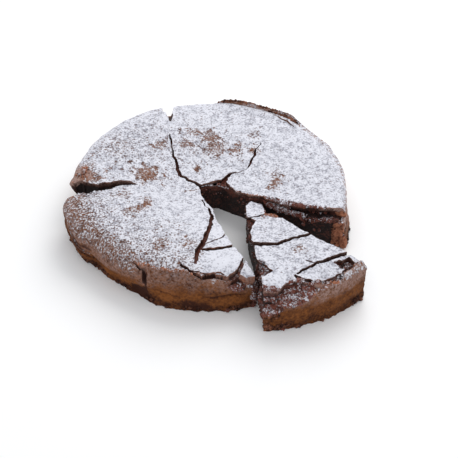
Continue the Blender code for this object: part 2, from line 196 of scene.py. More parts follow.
# Plan points of the wedge at its base and at its top: tip, left side outwards, right side inwards
WEDGE_BASE = (
    (36.5, -17), (33.5, -24), (34, -38), (35, -52), (37, -66), (39.2, -78), (41.2, -92), (42.3, -106),
    (43.2, -120), (44.4, -138), (46, -160),
)
WEDGE_TOP = (
    (38.5, -19.5), (31.5, -24), (31.5, -38), (32.5, -52), (34, -66), (35.5, -78), (37, -92),
    (39.5, -106), (41, -120), (43, -138), (45, -160),
)
WEDGE_BASE_RIGHT = (
    (160, -131), (126, -99.5), (106, -83), (92, -70), (78, -57), (62, -40), (48, -25),
)
WEDGE_TOP_RIGHT = (
    (156, -133), (121, -103), (104, -89), (90, -77), (78, -64), (62, -42), (48, -22),
)
WEDGE_CRACKS = {
    "crack_tip": ((28, -43, 3.4), (36, -41.5, 2.6), (45, -38.5, 2.4), (54, -36, 3.2), (64, -34, 3.2)),
    "crack_middle": ((28, -78, 7.4), (36, -79, 5.6), (46, -79, 3.8), (56, -78, 3), (68, -72, 2.4),
        (90, -62, 2.4)),
    "crack_outer": ((116, -90, 3.4), (103, -93, 3.2), (90, -100, 2.6), (78, -107, 1.7),
        (68, -115, 1.6)),
    "crack_branch": ((76, -100.5, 1.5), (82, -103, 1.5), (86, -103, 1.5)),
    "crack_wedge_rim": ((66, -117, 2.6), (73, -121, 3.2), (83, -122.5, 3.2), (93, -119.5, 3.2),
        (103, -112.5, 3.4), (112, -104, 5)),
}
# How much higher the plate on the left-hand side of a crack lies than the other one
CRACK_STEPS = {
    "crack_beside_notch": -1.2, "crack_left": -3.2, "crack_back": 0.4, "crack_right": 0.7,
    "crack_tip": -0.9, "crack_middle": 0.9, "crack_outer": -1.1, "crack_shard_near": 0.5,
    "crack_shard_far": -0.8, "crack_front_rim": 1, "crack_wedge_rim": 0.6,
}
STEP_REACH = 8.0
WEDGE_PITS = {
    "pit_wall": ((36, -128, 20), (45, -131, 27), (53, -131, 29), (60, -124.5, 31), (70, -122, 32),
        (80, -125, 33), (92, -126, 36), (84, -140, 35), (62, -148, 22), (48, -152, 9), (38, -150, 6)),
    "pit_left": ((30, -91, 28), (37, -94, 32.5), (43, -103, 33.5), (51, -112, 34), (46, -116, 33.5),
        (41, -119, 31), (32, -119, 26)),
    "pit_tip": ((46.5, -20, 24), (56, -32, 24), (64, -42, 24), (54, -41.5, 26), (48.5, -38, 26)),
    "pit_side": ((28, -42, 24), (35, -42.5, 26), (40.5, -46, 26), (37.5, -54, 26), (34.5, -64, 26),
        (28, -66, 24)),
    "pit_right": ((98, -100, 33), (101, -98, 33), (105, -98.5, 33), (110, -94, 32), (115, -102, 32),
        (111, -106, 33), (106, -105, 33), (103, -107, 33.5), (100, -104, 33.5)),
}

# Parts of the rim that stand up: azimuths in degrees, height gained, and the radii where
# the rise starts and ends
ROUND_RIDGES = (
    (38, 94, 3.4, 106, 117), (42, 90, 3.2, 118.1, 118.4), (240, 270, 3, 114.6, 115.3),
)
WEDGE_RIDGES = ((-38, -80, 4.6, 113.6, 115),)
RIDGE_RELIEF = ((1.3, 5.0), (0.8, 2.0))
RIDGE_BAND = 1.8
SHARP_RIDGE = 2.0
RIDGE_LOWEST = 24.0
# Creases along the wall: azimuth and height where each starts and ends, and its depth
WALL_CREASES = (
    (190, 21, 226, 10, 2.2), (204, 23, 222, 15, 2.2), (197, 28.5, 222, 22, 2.6), (198, 9, 214, 6, 1.6),
    (216, 14, 236, 11, 1.8), (250, 16, 262, 12, 1), (268, 15, 286, 17, 1), (284, 13, 300, 9, 1),
    (-30, 12, -12, 17, 1), (20, 12, 55, 15, 1.2), (96, 16, 122, 11, 1.2), (140, 9, 163, 14, 1.2),
)
CREASE_HALF = 0.9
CREASE_ENDS = 6.0
CREASE_WANDER = ((2.2, 9.0),)
# Patches of the wall that are darker or lighter: azimuth, height, reach along and up, change
WALL_PATCHES = (
    (246, 4, 16, 7, -0.4), (266, 6, 17, 7, -0.4), (232, 8, 22, 9, 0.35), (256, 12, 15, 9, 0.3),
    (279, 10, 14, 8, 0.3), (211, 20, 12, 7, -0.4), (20, 9, 24, 8, 0.3), (60, 6, 20, 8, -0.5),
    (95, 10, 22, 8, 0.3), (130, 5, 20, 7, -0.5), (165, 11, 18, 8, 0.3),
)
# Parts of the wall pushed in or out: azimuths, distance, and the heights where that is
# nothing and all of it
ROUND_SPREADS = (
    (188, 222, 5.5, -6, 14), (-36, 0, 4.5, 26, 8), (154, 184, -2, -9, 0), (150, 196, -7, 31, 24),
    (210, 252, -4.5, 26, 8), (-2, 66, 3.2, 10, 34),
)
# One plate of the crust rides on its neighbour along this seam: plan x, plan y
OVERLAP_SEAM = ((-25, 13), (-38, 7), (-48, 0), (-60, -6))
OVERLAP_RISE = 0.81
OVERLAP_FALL = -0.99
OVERLAP_RUN = 14.0
OVERLAP_SPACING = 3.0

# Where the sugar lies thin: plan x, plan y, reach, and how much of it is missing there
THIN_SUGAR = (
    (-43, 52, 9, 0.5), (-52, 10, 17, 0.75), (-10, 24, 4, 1.1), (-20, 56, 10, 0.45), (-15, 73, 10, 0.4),
    (0, 68, 12, 0.45), (6, 52, 17, 0.5), (28, 48, 11, 0.45), (42, 70, 9, 0.45), (42, 48, 9, 0.45),
    (58, 12, 9, 0.5), (60, 3, 9, 0.5), (57, -5, 8, 0.5), (-70, -22, 10, 0.4), (-50, -28, 8, 0.6),
    (-54, -37, 9, 0.4), (-62, -43, 10, 0.45), (-14, -82, 8, 0.45), (-36, -84, 10, 0.35),
    (73, -85, 8, 0.55), (-112, 4, 26, 0.5), (-101, -3, 14, 0.3), (-30, -60, 20, 0.15),
    (-85, 40, 24, 0.25), (0, 58, 40, 0.16), (-60, 50, 34, 0.1),
)

# Painted shade: where the crust and the sugar on it are painted darker: plan x, plan y, reach, amount
PAINTED_SHADE_SPOTS = (
    (70, 20, 60, 0.12), (84, -78, 50, 0.15), (48, -60, 40, 0.08), (-62, 52, 48, 0.3),
    (-95, 20, 34, 0.2), (0, 58, 38, 0.2), (-60, -62, 30, 0.12),
)
# Where fine sugar dulls the bare crust: plan x, plan y, reach, amount
HAZE_SPOTS = ((-114, 6, 24, 0.6), (-84, -86, 30, 0.08), (-112, -40, 26, 0.08))
# Where the sugar lies thickest: plan x, plan y, reach, amount
BRIGHT_SUGAR = ((16, -64, 18, 0.45), (13, -98, 22, 0.5), (26, -76, 14, 0.4))
# Crumb that lies deep in shade: plan x, plan y, reach, amount
DARK_CRUMB = ((-104, -15, 40, 1),)
# Azimuth that makes a window 1 everywhere
ALL_ROUND = 400
# Where less sugar lies: amount, azimuths, radius where the loss starts, run to all of it, and
# how much its edge wanders
ROUND_LOSSES = (
    (0.48, 158, 256, 100, 16, 0), (0.65, -52, 88, 115.5, 3, 0), (0.15, 90, 190, -1, 1, 0),
    (1.3, 240, 287, 114.5, 1.6, 1),
)
WEDGE_LOSSES = ((0.95, -ALL_ROUND, ALL_ROUND, 115, 2, 0.5),)
SUGAR_EDGE_JITTER = ((2.4, 6.0), (1.6, 2.4))
# Radius and azimuths of the wall that no crack crosses
WALL_FROM = 116.0
PLAIN_WALL = (-112.0, 120.0)
# Start and run of a rise, as other pairs below: the depth where a crack's inside begins
CRACK_INSIDE = (0.4, 1.6)
SUGAR_SHARE = 1.40
LEAST_SUGAR = 0.1
THIN_SHARE = 1.5
SPARSE_SHARE = 0.64
BARE_RIDGE = 0.9
# How far down the wall the sugar goes, and over what height it fades
SUGAR_DOWN = 12.0
SUGAR_DOWN_FADE = 9.0
# Sparse sugar at the left and the front left: azimuths, radius, and where it ends in x
SPARSE_WINDOW = (166.0, 288.0)
SPARSE_RADIUS = (54.0, 62.0)
SPARSE_END = (-4.0, 8.0)
# Fine sugar on the wall: radius, amount at its top, reach down it, and amount on the bare top
HAZE_WALL = (108.0, 6.0)
WALL_HAZE = 0.66
WALL_HAZE_REACH = 10.0
TOP_HAZE = 0.38
TOP_HAZE_REACH = 3.0
SPARSE_HAZE_LOSS = 0.26
SPOT_HAZE_REACH = 16.0
HAZE_WANDER = ((4.0, 14.0), (2.0, 5.0))
# What the round adds to the amount and to the reach: change and azimuths
ROUND_HAZE = ((0.1, -ALL_ROUND, ALL_ROUND), (0.5, -50, 160), (-0.44, 180, 300))
ROUND_HAZE_REACH = ((3.0, -ALL_ROUND, ALL_ROUND), (13.0, -70, 50))
# Change on the crest of a ridge, at the front and at the back, here; the change in the tone there is a
# painted highlight
RIDGE_HAZE = (0.35, -1.0)
# Tone of the bare crust: at the foot, gained up the wall, and on the top, and the painted shade that
# darkens it down into its cracks
TONE_WALL = (111.0, 6.0)
TONE_RISE = (3.0, 8.0)
SHADE_DEPTH_RUN = (0.3, 2.2)
TONE_WANDER = ((3.0, 9.0),)
SPARSE_TONE_RISE = (20.0, 6.0)
# Run over the shoulder in which the painted shade in the wall's creases comes in
CREASE_SHADE_RUN = 8.0
PATCH_EDGE = 1.5
FOOT_TONE = 0.20
WALL_TONE = 0.37
TOP_TONE = 0.4
# Painted shade: how much darker the top's crust gets below its surface, down cracks and cut faces
DEPTH_PAINTED_SHADE = 1.3
SPARSE_TONE_LOSS = 0.22
# Painted shade in the wall's creases
CREASE_PAINTED_SHADE = 0.6
# Painted shade on the faces inside a crack
CRACK_PAINTED_SHADE = 0.9
# Painted highlight on the bare crest of a ridge, at the front and at the back
RIDGE_PAINTED_HIGHLIGHT = (0.4, 0.05)
# The bare crest of a sharp ridge: width in bands, and how soon it starts at its ends
CREST_BANDS = 1.2
CREST_ENDS = 3.0
# Redness of the crumb: most, reach down and wander. Sugar on it: reach and fade
CRUMB_TONE = 0.75
CRUMB_TONE_REACH = 9.0
CRUMB_WANDER = ((3.0, 8.0),)
CRUMB_DUST_REACH = 14.0
CRUMB_DUST_FADE = 8.0
# A spot's outline: how far it may reach, how ragged it is and how soon it is full
SPOT_REACH = 1.4
SPOT_RAGGED = 0.9
SPOT_JITTER = ((1.0, 6.0), (0.6, 2.6))
# Where sugar fell on bare crumb: plan x, plan y, reach, amount
DUSTED_CRUMB = (
    (70, -34, 14, 0.25), (86, -39, 14, 0.25), (102, -41, 14, 0.3), (30, -112, 14, 0.25),
    (52, -128, 16, 0.3), (68, -124, 12, 0.3), (36, -104, 10, 0.1), (108, -102, 8, 0.15),
    (84, -123, 10, 0.2), (98, -117, 10, 0.2),
)


def smooth_step(value):
    """Rise smoothly from 0 to 1 as value goes from 0 to 1."""
    value = min(max(value, 0.0), 1.0)
    return value * value * (3.0 - 2.0 * value)


def ramp(value, start, run):
    """Rise smoothly from 0 at a start to 1 at the end of a run."""
    return smooth_step((value - start) / run)


def window(angle, start, end):
    """1 between two azimuths, fading to 0 over a quarter of the span at each end."""
    low, high = min(start, end), max(start, end)
    middle = (low + high) / 2.0
    offset = (angle - middle + 180.0) % 360.0 - 180.0
    edge = (high - low) / 2.0 - abs(offset)
    return smooth_step(edge / ((high - low) / 4.0))


def bumps(layers, x, y, z=0.0):
    """Sum of the noise layers at a point, each a height and a spacing."""
    return sum(height * noise.noise(Vector((x, y, z)) / spacing) for height, spacing in layers)


def crust_height(radius):
    """Height of the crust's top where the rim is rounded, before its bumps."""
    rise = (RIM_HEIGHT - CENTRE_HEIGHT) * smooth_step(radius / SHOULDER_START)
    return CENTRE_HEIGHT + rise - SHOULDER_DROP * shoulder_share(radius)


def shoulder_share(radius):
    """How far a place is down the rim's quarter round, from 0 at its start to 1 at the wall."""
    bend = min(max((radius - SHOULDER_START) / (RADIUS - SHOULDER_START), 0.0), 1.0)
    return 1.0 - math.sqrt(1.0 - bend * bend)


def rim_gain(radius, angle, height):
    """Sharp rim at the back and slumped one at the front left, fading down the wall."""
    gain = sum(change * window(angle, start, end) for start, end, change in RIM_CHANGES)
    return gain * shoulder_share(radius) * smooth_step(height / (RIM_HEIGHT - SHOULDER_DROP))


def height_at(x, y, centre):
    """Height of the crust's top, with its broad bumps, at a plan point."""
    x_out, y_out = x - centre[0], y - centre[1]
    radius = min(math.hypot(x_out, y_out), RADIUS)
    height = crust_height(radius)
    if centre != WEDGE_CENTRE:
        height += rim_gain(radius, math.degrees(math.atan2(y_out, x_out)), height)
    return height + bumps(BUMPS, x, y)


def wall_push(angle, height, spreads):
    """How far the wall stands out from the circle at an azimuth and a height."""
    push = 0.0
    for start, end, distance, none_at, all_at in spreads:
        share = smooth_step((height - none_at) / (all_at - none_at))
        push += distance * window(angle, start, end) * share
    return push


def steps_at(radius, most):
    """Steps round the axis at a radius: halved towards the axis, so that faces stay alike."""
    steps = most
    while steps > FEWEST_STEPS and radius < RADIUS * 0.5 * steps / most:
        steps //= 2
    return steps


def top_rings(spacing, drop, reach, most):
    """Rings of the top from the axis outwards, a drop below the crust: radius, height, steps."""
    rings = [(0.0, CENTRE_HEIGHT - drop, 1)]
    count = round(SHOULDER_START / spacing)
    for i in range(1, count + 1):
        radius = SHOULDER_START * i / count
        rings.append((radius, crust_height(radius) - drop, steps_at(radius, most)))
    turns = round(SHOULDER_LENGTH / spacing)
    for i in range(1, turns + 1):
        bend = math.sin(i / turns * math.pi / 2)
        outer = SHOULDER_START + (RADIUS - SHOULDER_START) * bend
        radius = SHOULDER_START + (reach - SHOULDER_START) * bend
        rings.append((radius, crust_height(outer) - drop, most))
    return rings


def wall_rings(reach, top, bottom, spacing, most):
    """Rings down an upright wall."""
    count = max(1, round((top - bottom) / spacing))
    return [(reach, top + (bottom - top) * i / count, most) for i in range(1, count + 1)]


def skin_rings():
    """Closed section of the crust: over the top, down the wall, and back up inside it."""
    outer = top_rings(RING_SPACING, 0.0, RADIUS, MOST_STEPS)
    outer += wall_rings(RADIUS, outer[-1][1], FOOT_HEIGHT, RING_SPACING, MOST_STEPS)
    outer += [(RADIUS + out, height, MOST_STEPS) for out, height in FOOT_RINGS]
    reach, steps = RADIUS - SKIN, MOST_STEPS // 2
    inner = top_rings(INSIDE_TOP_SPACING, SKIN, reach, steps)
    inner += wall_rings(reach, inner[-1][1], 0.0, INSIDE_WALL_SPACING, steps)
    return outer, inner[::-1]


def core_rings():
    """Closed section of the crumb, which reaches a little way into the crust."""
    reach, steps = RADIUS - SKIN + CORE_OVERLAP, MOST_STEPS // 2
    outer = top_rings(CORE_SPACING, SKIN - CORE_OVERLAP, reach, steps)
    outer += wall_rings(reach, outer[-1][1], 0.0, CORE_SPACING, steps)
    inner = [(RADIUS * share, 0.0, steps // part) for share, part in CORE_BASE]
    return outer, inner + [(0.0, 0.0, 1)]


def bridge(first, second, start_first, start_second):
    """Faces between two rings whose step counts are equal or differ by a factor of two."""
    if first == second:
        steps = [(i, (i + 1) % first) for i in range(first)]
        return [(start_first + i, start_second + i, start_second + j, start_first + j) for i, j in steps]
    rings = sorted(((first, start_first), (second, start_second)))
    (coarse, start_coarse), (fine, start_fine) = rings
    faces = []
    for i in range(fine):
        one, next_one = start_fine + i, start_fine + (i + 1) % fine
        here, after = start_coarse + i // 2, start_coarse + (i // 2 + 1) % coarse
        if coarse == 1:
            faces.append((start_coarse, one, next_one))
        elif i % 2:
            faces.append((after, one, next_one))
        else:
            faces += [(here, one, next_one), (here, next_one, after)]
    return faces if first < second else [(b, a, c) for a, b, c in faces]


def turned(rings):
    """Points and faces of a closed form turned about the axis through rings."""
    points, faces, start = [], [], 0
    for k, (radius, height, steps) in enumerate(rings):
        for i in range(steps):
            turn = 2.0 * math.pi * i / steps
            points.append((radius * math.cos(turn), radius * math.sin(turn), height))
        if k:
            before = rings[k - 1][2]
            faces += bridge(before, steps, start - before, start)
        start += steps
    return points, faces


def finer(points, longest):
    """Line whose stretches are divided until none is longer than a length."""
    line = []
    for start, end in zip(points, points[1:]):
        start, end = Vector(start), Vector(end)
        parts = max(1, math.ceil((end - start).xy.length / longest))
        line.extend(tuple(start.lerp(end, i / parts)) for i in range(parts))
    line.append(tuple(points[-1]))
    return line


def sideways(points, index):
    """Unit vector across a plan line at one of its points."""
    before = Vector(points[max(index - 1, 0)][:2])
    after = Vector(points[min(index + 1, len(points) - 1)][:2])
    along = (after - before).normalized()
    return Vector((-along.y, along.x))


def jagged(points, spacing, layers):
    """Plan line at an even spacing, with each point moved to one side by noise."""
    line = finer(points, spacing)
    moved = []
    for i, point in enumerate(line):
        shift = sideways(line, i) * bumps(layers, point[0], point[1], LINE_LEVEL)
        moved.append((point[0] + shift.x, point[1] + shift.y) + tuple(point[2:]))
    return moved


class CrackEdges:
    """Finds how near a plan point is to the edge of a crack, and what the crust does there."""

    def __init__(self, cracks):
        self.points = []
        lines = {name: jagged(crack, CRACK_SPACING, CRACK_JITTER) for name, crack in cracks.items()}
        self.tree = kdtree.KDTree(sum(len(line) for line in lines.values()))
        for name, line in lines.items():
            for i, point in enumerate(line):
                ends = smooth_step(min(i, len(line) - 1 - i) / CRACK_END_STEPS)
                step = CRACK_STEPS.get(name, 0.0) * ends
                self.tree.insert((point[0], point[1], 0.0), len(self.points))
                self.points.append((point, sideways(line, i), step))
        self.tree.balance()

    def nearness(self, x, y):
        """1 in a crack and at its sides, falling to 0 a little way off."""
        found, index, away = self.tree.find((x, y, 0.0))
        half = self.points[index][0][2] / 2.0
        share, margin, fade = CRACK_SIDES
        return smooth_step((half * share + margin - away) / fade)

    def lift(self, x, y):
        """Height that the crust gains at a plan point by curling and by its plate's level."""
        found, index, away = self.tree.find((x, y, 0.0))
        point, across, step = self.points[index]
        near = max(away - point[2] / 2.0, 0.0)
        curl = CURL_HEIGHT * math.exp(-near / CURL_REACH) * min(point[2] / 2.0, 1.0)
        side = 1.0 if across.dot(Vector((x - point[0], y - point[1]))) > 0.0 else -1.0
        return curl + 0.5 * side * step * math.exp(-near / STEP_REACH)


def seam_shift(x, y):
    """Height gained by the plate in front of the seam and lost by the plate behind it."""
    nearest, gain = OVERLAP_RUN, 0.0
    line = finer(OVERLAP_SEAM, OVERLAP_SPACING)
    for i, point in enumerate(line):
        offset = Vector((x - point[0], y - point[1]))
        if offset.length < nearest:
            nearest = offset.length
            fade = smooth_step(min(i, len(line) - 1 - i) / 3.0)
            fall = 1.0 - smooth_step(nearest / OVERLAP_RUN)
            front = offset.dot(sideways(line, i)) > 0.0
            gain = (OVERLAP_RISE if front else OVERLAP_FALL) * fade * fall
    return gain


def ridge_gain(x, y, radius, angle, height, ridges):
    """Height gained where a part of the rim stands up, with a ragged edge."""
    if height < RIDGE_LOWEST:
        return 0.0
    gain = 0.0
    for start, end, rise, begin, full in ridges:
        share = window(angle, start, end) * smooth_step((radius - begin) / (full - begin))
        ragged = bumps(RIDGE_RELIEF, x, y) if full - begin < SHARP_RIDGE else 0.0
        gain += share * (rise + ragged)
    return gain


def crease(angle, height):
    """Depth of the wall's creases at an azimuth and a height."""
    deepest = 0.0
    for start, low, end, high, depth in WALL_CREASES:
        along = ((angle - start + 180.0) % 360.0 - 180.0) / (end - start)
        if 0.0 < along < 1.0:
            line = low + (high - low) * along + bumps(CREASE_WANDER, angle, low)
            ends = smooth_step(min(along, 1.0 - along) * CREASE_ENDS)
            off = (height - line) / CREASE_HALF
            deepest = max(deepest, depth * ends * math.exp(-off * off))
    return deepest


def shape_points(points, outer_count, centre, ridges, spreads, edges):
    """Move a turned form to its centre and give it bumps, a rim, a wall and crust relief."""
    shaped = []
    for index, (x, y, z) in enumerate(points):
        radius = math.hypot(x, y)
        angle = math.degrees(math.atan2(y, x))
        plan_x, plan_y = x + centre[0], y + centre[1]
        upper = smooth_step(z / CENTRE_HEIGHT)
        gain = upper * bumps(BUMPS, plan_x, plan_y)
        if centre != WEDGE_CENTRE:
            gain += rim_gain(radius, angle, z)
        push = 0.0
        if index < outer_count:
            gain += ridge_gain(plan_x, plan_y, radius, angle, z, ridges)
            shoulder = smooth_step((radius - SHOULDER_START) / (RADIUS - SHOULDER_START))
            top_share = upper * (1.0 - shoulder)
            if top_share > 0.0:
                relief = bumps(CRUST_RELIEF, plan_x, plan_y)
                gain += top_share * (relief + edges.lift(plan_x, plan_y))
                gain += top_share * seam_shift(plan_x, plan_y)
            push = bumps(WALL_RELIEF, plan_x, plan_y, z * RELIEF_SQUEEZE) * shoulder
            foot = smooth_step(1.0 - z / FOOT_RELIEF_HEIGHT) * shoulder
            push += (bumps(FOOT_RELIEF, plan_x, plan_y, z * FOOT_SQUEEZE) - FOOT_INSET) * foot
            if centre != WEDGE_CENTRE:
                push -= crease(angle, z) * shoulder
        if radius > SHOULDER_START:
            push += bumps(WALL_BUMPS, x, y, z * BUMP_SQUEEZE) + wall_push(angle, z, spreads)
            scale = 1.0 + push / radius
            plan_x, plan_y = x * scale + centre[0], y * scale + centre[1]
        shaped.append((plan_x, plan_y, z + gain))
    return shaped


def new_object(name, data):
    """Object in the scene for a mesh, a light or a camera."""
    made = bpy.data.objects.new(name, data)
    bpy.context.scene.collection.objects.link(made)
    return made


def mesh_object(name, points, faces, materials):
    """Mesh object from points in millimetres about the axis of the round."""
    mesh = bpy.data.meshes.new(name)
    placed = [((x + AXIS[0]) * MM, (y + AXIS[1]) * MM, z * MM) for x, y, z in points]
    mesh.from_pydata(placed, [], faces)
    for material in materials:
        mesh.materials.append(material)
    return new_object(name, mesh)


def loft(name, rings, material):
    """Closed mesh object through rings with equal numbers of points, capped at both ends."""
    shell = bmesh.new()
    rows = [[shell.verts.new(Vector((x + AXIS[0], y + AXIS[1], z)) * MM) for x, y, z in ring]
            for ring in rings]
    count = len(rows[0])
    for lower, upper in zip(rows, rows[1:]):
        for i in range(count):
            j = (i + 1) % count
            shell.faces.new((lower[i], lower[j], upper[j], upper[i]))
    shell.faces.new(rows[0][::-1])
    shell.faces.new(rows[-1])
    bmesh.ops.recalc_face_normals(shell, faces=shell.faces)
    mesh = bpy.data.meshes.new(name)
    shell.to_mesh(mesh)
    shell.free()
    mesh.materials.append(material)
    return new_object(name, mesh)


def crack_cutter(name, points, centre, material, undercut):
    """A crack with ragged sides that closes towards its floor below the crust."""
    line = jagged(points, CRACK_SPACING, CRACK_JITTER)
    rings = []
    for i, point in enumerate(line):
        across = sideways(line, i)
        x, y, half = point[0], point[1], point[2] / 2.0
        left = half * (1.0 + bumps(CRACK_SIDE_JITTER, x, y, LEFT_LEVEL)) + undercut
        right = half * (1.0 + bumps(CRACK_SIDE_JITTER, x, y, RIGHT_LEVEL)) + undercut
        surface = height_at(x, y, centre)
        floor = surface - CRACK_BASE_DEPTH - CRACK_DEPTH_PER_WIDTH * point[2]
        if len(point) > 3:
            floor = point[3]
        under = surface - SKIN - CRACK_BELOW_SKIN
        floor = min(floor, under - CRACK_LEAST_DEPTH)
        left_low, right_low = left * CRACK_FLOOR_SHARE, right * CRACK_FLOOR_SHARE
        steps = ((left, CLEAR_ABOVE), (left, under), (left_low, floor),
                 (-right_low, floor), (-right, under), (-right, CLEAR_ABOVE))
        rings.append([(x + across.x * side, y + across.y * side, z) for side, z in steps])
    return loft(name, rings, material)


def pit_cutter(name, points, material, drop):
    """A broken place with a ragged outline, down to an uneven floor of crumb."""
    points = jagged(tuple(points) + (points[0],), CUT_SPACING, CRUST_EDGE_JITTER)[:-1]
    count = len(points)
    middle = [sum(point[axis] for point in points) / count for axis in range(3)]
    rings = [[(x, y, CLEAR_ABOVE) for x, y, z in points], [(x, y, z - drop) for x, y, z in points]]
    for share in PIT_RINGS:
        ring = []
        for point in points:
            inner = [centre + (value - centre) * share for centre, value in zip(middle, point)]
            rough = bumps(CRUMB_BUMPS, inner[0], inner[1], PIT_LEVEL) * PIT_ROUGHNESS
            inner[2] += rough - drop - PIT_DIP * (1.0 - share)
            ring.append(inner)
        rings.append(ring)
    return loft(name, rings, material)


def rough_prism(name, lower, upper, heights, layers, recess, material):
    """Prism between two outlines, whose sides are moved across themselves by noise."""
    rings = []
    for height in heights:
        share = (height - heights[0]) / (heights[-1] - heights[0])
        ring = []
        line = [Vector(low).lerp(Vector(high), share) for low, high in zip(lower, upper)]
        for i, point in enumerate(line):
            before, after = line[i - 1], line[(i + 1) % len(line)]
            along = (after - before).normalized()
            push = recess + bumps(layers, point.x, point.y, height)
            ring.append((point.x - along.y * push, point.y + along.x * push, height))
        rings.append(ring)
    return loft(name, rings, material)


def heights_between(low, high, spacing):
    """Even heights from low to high."""
    count = max(1, round((high - low) / spacing))
    return [low + (high - low) * i / count for i in range(count + 1)]


def notch_cutters(material, layers, recess, spacing):
    """The wedge's empty place: plain below the ledge, under the crust's own edge above it."""
    left = jagged(LEFT_CUT, CUT_SPACING, CRUST_EDGE_JITTER)[::-1]
    low = left + finer(RIGHT_CUT, CUT_SPACING) + list(NOTCH_MOUTH)
    high = left + jagged(RIGHT_CRUST, CUT_SPACING, CRUST_EDGE_JITTER) + list(NOTCH_MOUTH)
    low_rows = [CLEAR_BELOW] + heights_between(-0.5, LEDGE_HEIGHT, spacing)
    high_rows = heights_between(LEDGE_HEIGHT - 0.5, HIGHEST_ROW, spacing) + [CLEAR_ABOVE]
    return [rough_prism("notch_low", low, low, low_rows, layers, recess, material),
            rough_prism("notch_high", high, high, high_rows, layers, recess, material)]


def hollow_cutter(material):
    """The hollow under the crust beside the right-hand cut, open to the notch."""
    floor = LEDGE_HEIGHT - HOLLOW_OVERLAP
    line = [point for point in finer(RIGHT_CRUST, 3.0) if HOLLOW_X[0] < point[0] < HOLLOW_X[1]]
    rings = []
    for i, (x, y) in enumerate(line):
        across = sideways(line, i)
        ends = smooth_step(i / HOLLOW_ENDS[0]) * smooth_step((len(line) - 1 - i) / HOLLOW_ENDS[1])
        roof = height_at(x, y, ROUND_CENTRE) - SKIN + HOLLOW_OVERLAP
        inside = HOLLOW_LEAST + HOLLOW_DEPTH * ends + bumps(CRUMB_BUMPS, x, y, HOLLOW_LEVEL)
        rough = bumps(CRUMB_BUMPS, x, y, HOLLOW_FLOOR_LEVEL)
        steps = ((-HOLLOW_OPEN, floor), (inside, floor + rough), (inside, roof - 1.0),
                 (inside - 2.0, roof), (-HOLLOW_OPEN, roof))
        rings.append([(x + across.x * side, y + across.y * side, z) for side, z in steps])
    return loft("hollow_right", rings, material)


def wedge_prism(material, layers, recess, spacing):
    """The form that the two cuts leave, wider than the tart at its outer end."""
    base = WEDGE_BASE + WEDGE_BASE_RIGHT + WEDGE_BASE[:1]
    top = WEDGE_TOP + WEDGE_TOP_RIGHT + WEDGE_TOP[:1]
    both = finer([low + high for low, high in zip(base, top)], CUT_SPACING)[:-1]
    lower, upper = [point[:2] for point in both], [point[2:] for point in both]
    rows = [CLEAR_BELOW] + heights_between(-0.5, WEDGE_HIGHEST_ROW, spacing) + [CLEAR_ABOVE]
    return rough_prism("wedge_prism", lower, upper, rows, layers, recess, material)


def carve(target, cutters, operation):
    """Cut or keep a solid with each cutter in turn, and remove the cutters."""
    for cutter in cutters:
        modifier = target.modifiers.new(cutter.name, "BOOLEAN")
        modifier.operation = operation
        modifier.solver = "MANIFOLD"
        modifier.material_mode = "TRANSFER"
        modifier.object = cutter
    graph = bpy.context.evaluated_depsgraph_get()
    carved = bpy.data.meshes.new_from_object(target.evaluated_get(graph))
    target.modifiers.clear()
    shell = bmesh.new()
    shell.from_mesh(carved)
    bmesh.ops.recalc_face_normals(shell, faces=shell.faces)
    shell.to_mesh(carved)
    shell.free()
    target.data = carved
    for cutter in cutters:
        bpy.data.objects.remove(cutter, do_unlink=True)


# Noise in the sugar's cover, and between its grey and its bright grains, whose wider layer is painted
# shade of the sugar's ripples: strength, spacing, detail
SUGAR_GRAIN = ((3.3, 1.6, 1.5), (1.0, 3.4, 2.0), (0.9, 9.0, 3.0))
SUGAR_TONES_AND_RIPPLE_SHADE = ((3.4, 1.6, 2.0), (2.4, 5.0, 2.0))
HAZE_GRAIN = ((5.0, 1.8, 2.0), (2.2, 5.0, 3.0))
CRUST_MOTTLE = ((1.3, 9.0, 3.0), (2.2, 2.0, 3.0))
# Spacing, detail and roughness of the relief's noise, and its depth
RELIEF_GRAIN = (1.3, 4.0, 0.7)
RELIEF_DEPTH = 0.6
NOISE_ROUGHNESS = 0.6
# Upright faces hold no sugar and level ones hold all of it
UPRIGHT_NORMAL, LEVEL_NORMAL = -0.1, 0.8
COVER_FROM = 0.25
COVER_FULL = 1.12
SUGAR_BASE_TONE = 0.36
SUGAR_TONE_SHARE = 0.65
SUGAR_ROUGHNESS = 0.95
# Colours are linear
SUGAR_BRIGHT = (0.75, 0.755, 0.815, 1.0)
SUGAR_GREY = (0.33, 0.33, 0.38, 1.0)
DUSTY = (0.34, 0.215, 0.18, 1.0)
CRUST_TAN = (0.225, 0.078, 0.022, 1.0)
CRUST_DARK = (0.045, 0.015, 0.009, 1.0)
EDGE_LIGHT = (0.420, 0.172, 0.098, 1.0)
EDGE_DARK = (0.034, 0.012, 0.009, 1.0)
CRUMB_RED = (0.190, 0.058, 0.038, 1.0)
CRUMB_BLACK = (0.016, 0.009, 0.008, 1.0)
FLOOR_COLOUR = (0.95, 0.95, 0.95, 1.0)


def feed(tree, socket, value):
    """Link a socket to another node's output, or set its value."""
    if isinstance(value, bpy.types.NodeSocket):
        tree.links.new(value, socket)
    else:
        socket.default_value = value


def add_node(tree, kind, inputs, **settings):
    """A node with its settings, and its inputs given by name or number."""
    made = tree.nodes.new(kind)
    for key, value in settings.items():
        setattr(made, key, value)
    for key, value in inputs.items():
        feed(tree, made.inputs[key], value)
    return made


def calculate(tree, operation, first, second, clamp=False):
    """Output of a Math node."""
    return add_node(tree, "ShaderNodeMath", {0: first, 1: second}, operation=operation,
                    use_clamp=clamp).outputs[0]


def spread(tree, value, low, high):
    """0 to 1, smoothly, as a value goes from low to high."""
    return add_node(tree, "ShaderNodeMapRange", {"Value": value, "From Min": low, "From Max": high},
                    interpolation_type="SMOOTHSTEP").outputs[0]


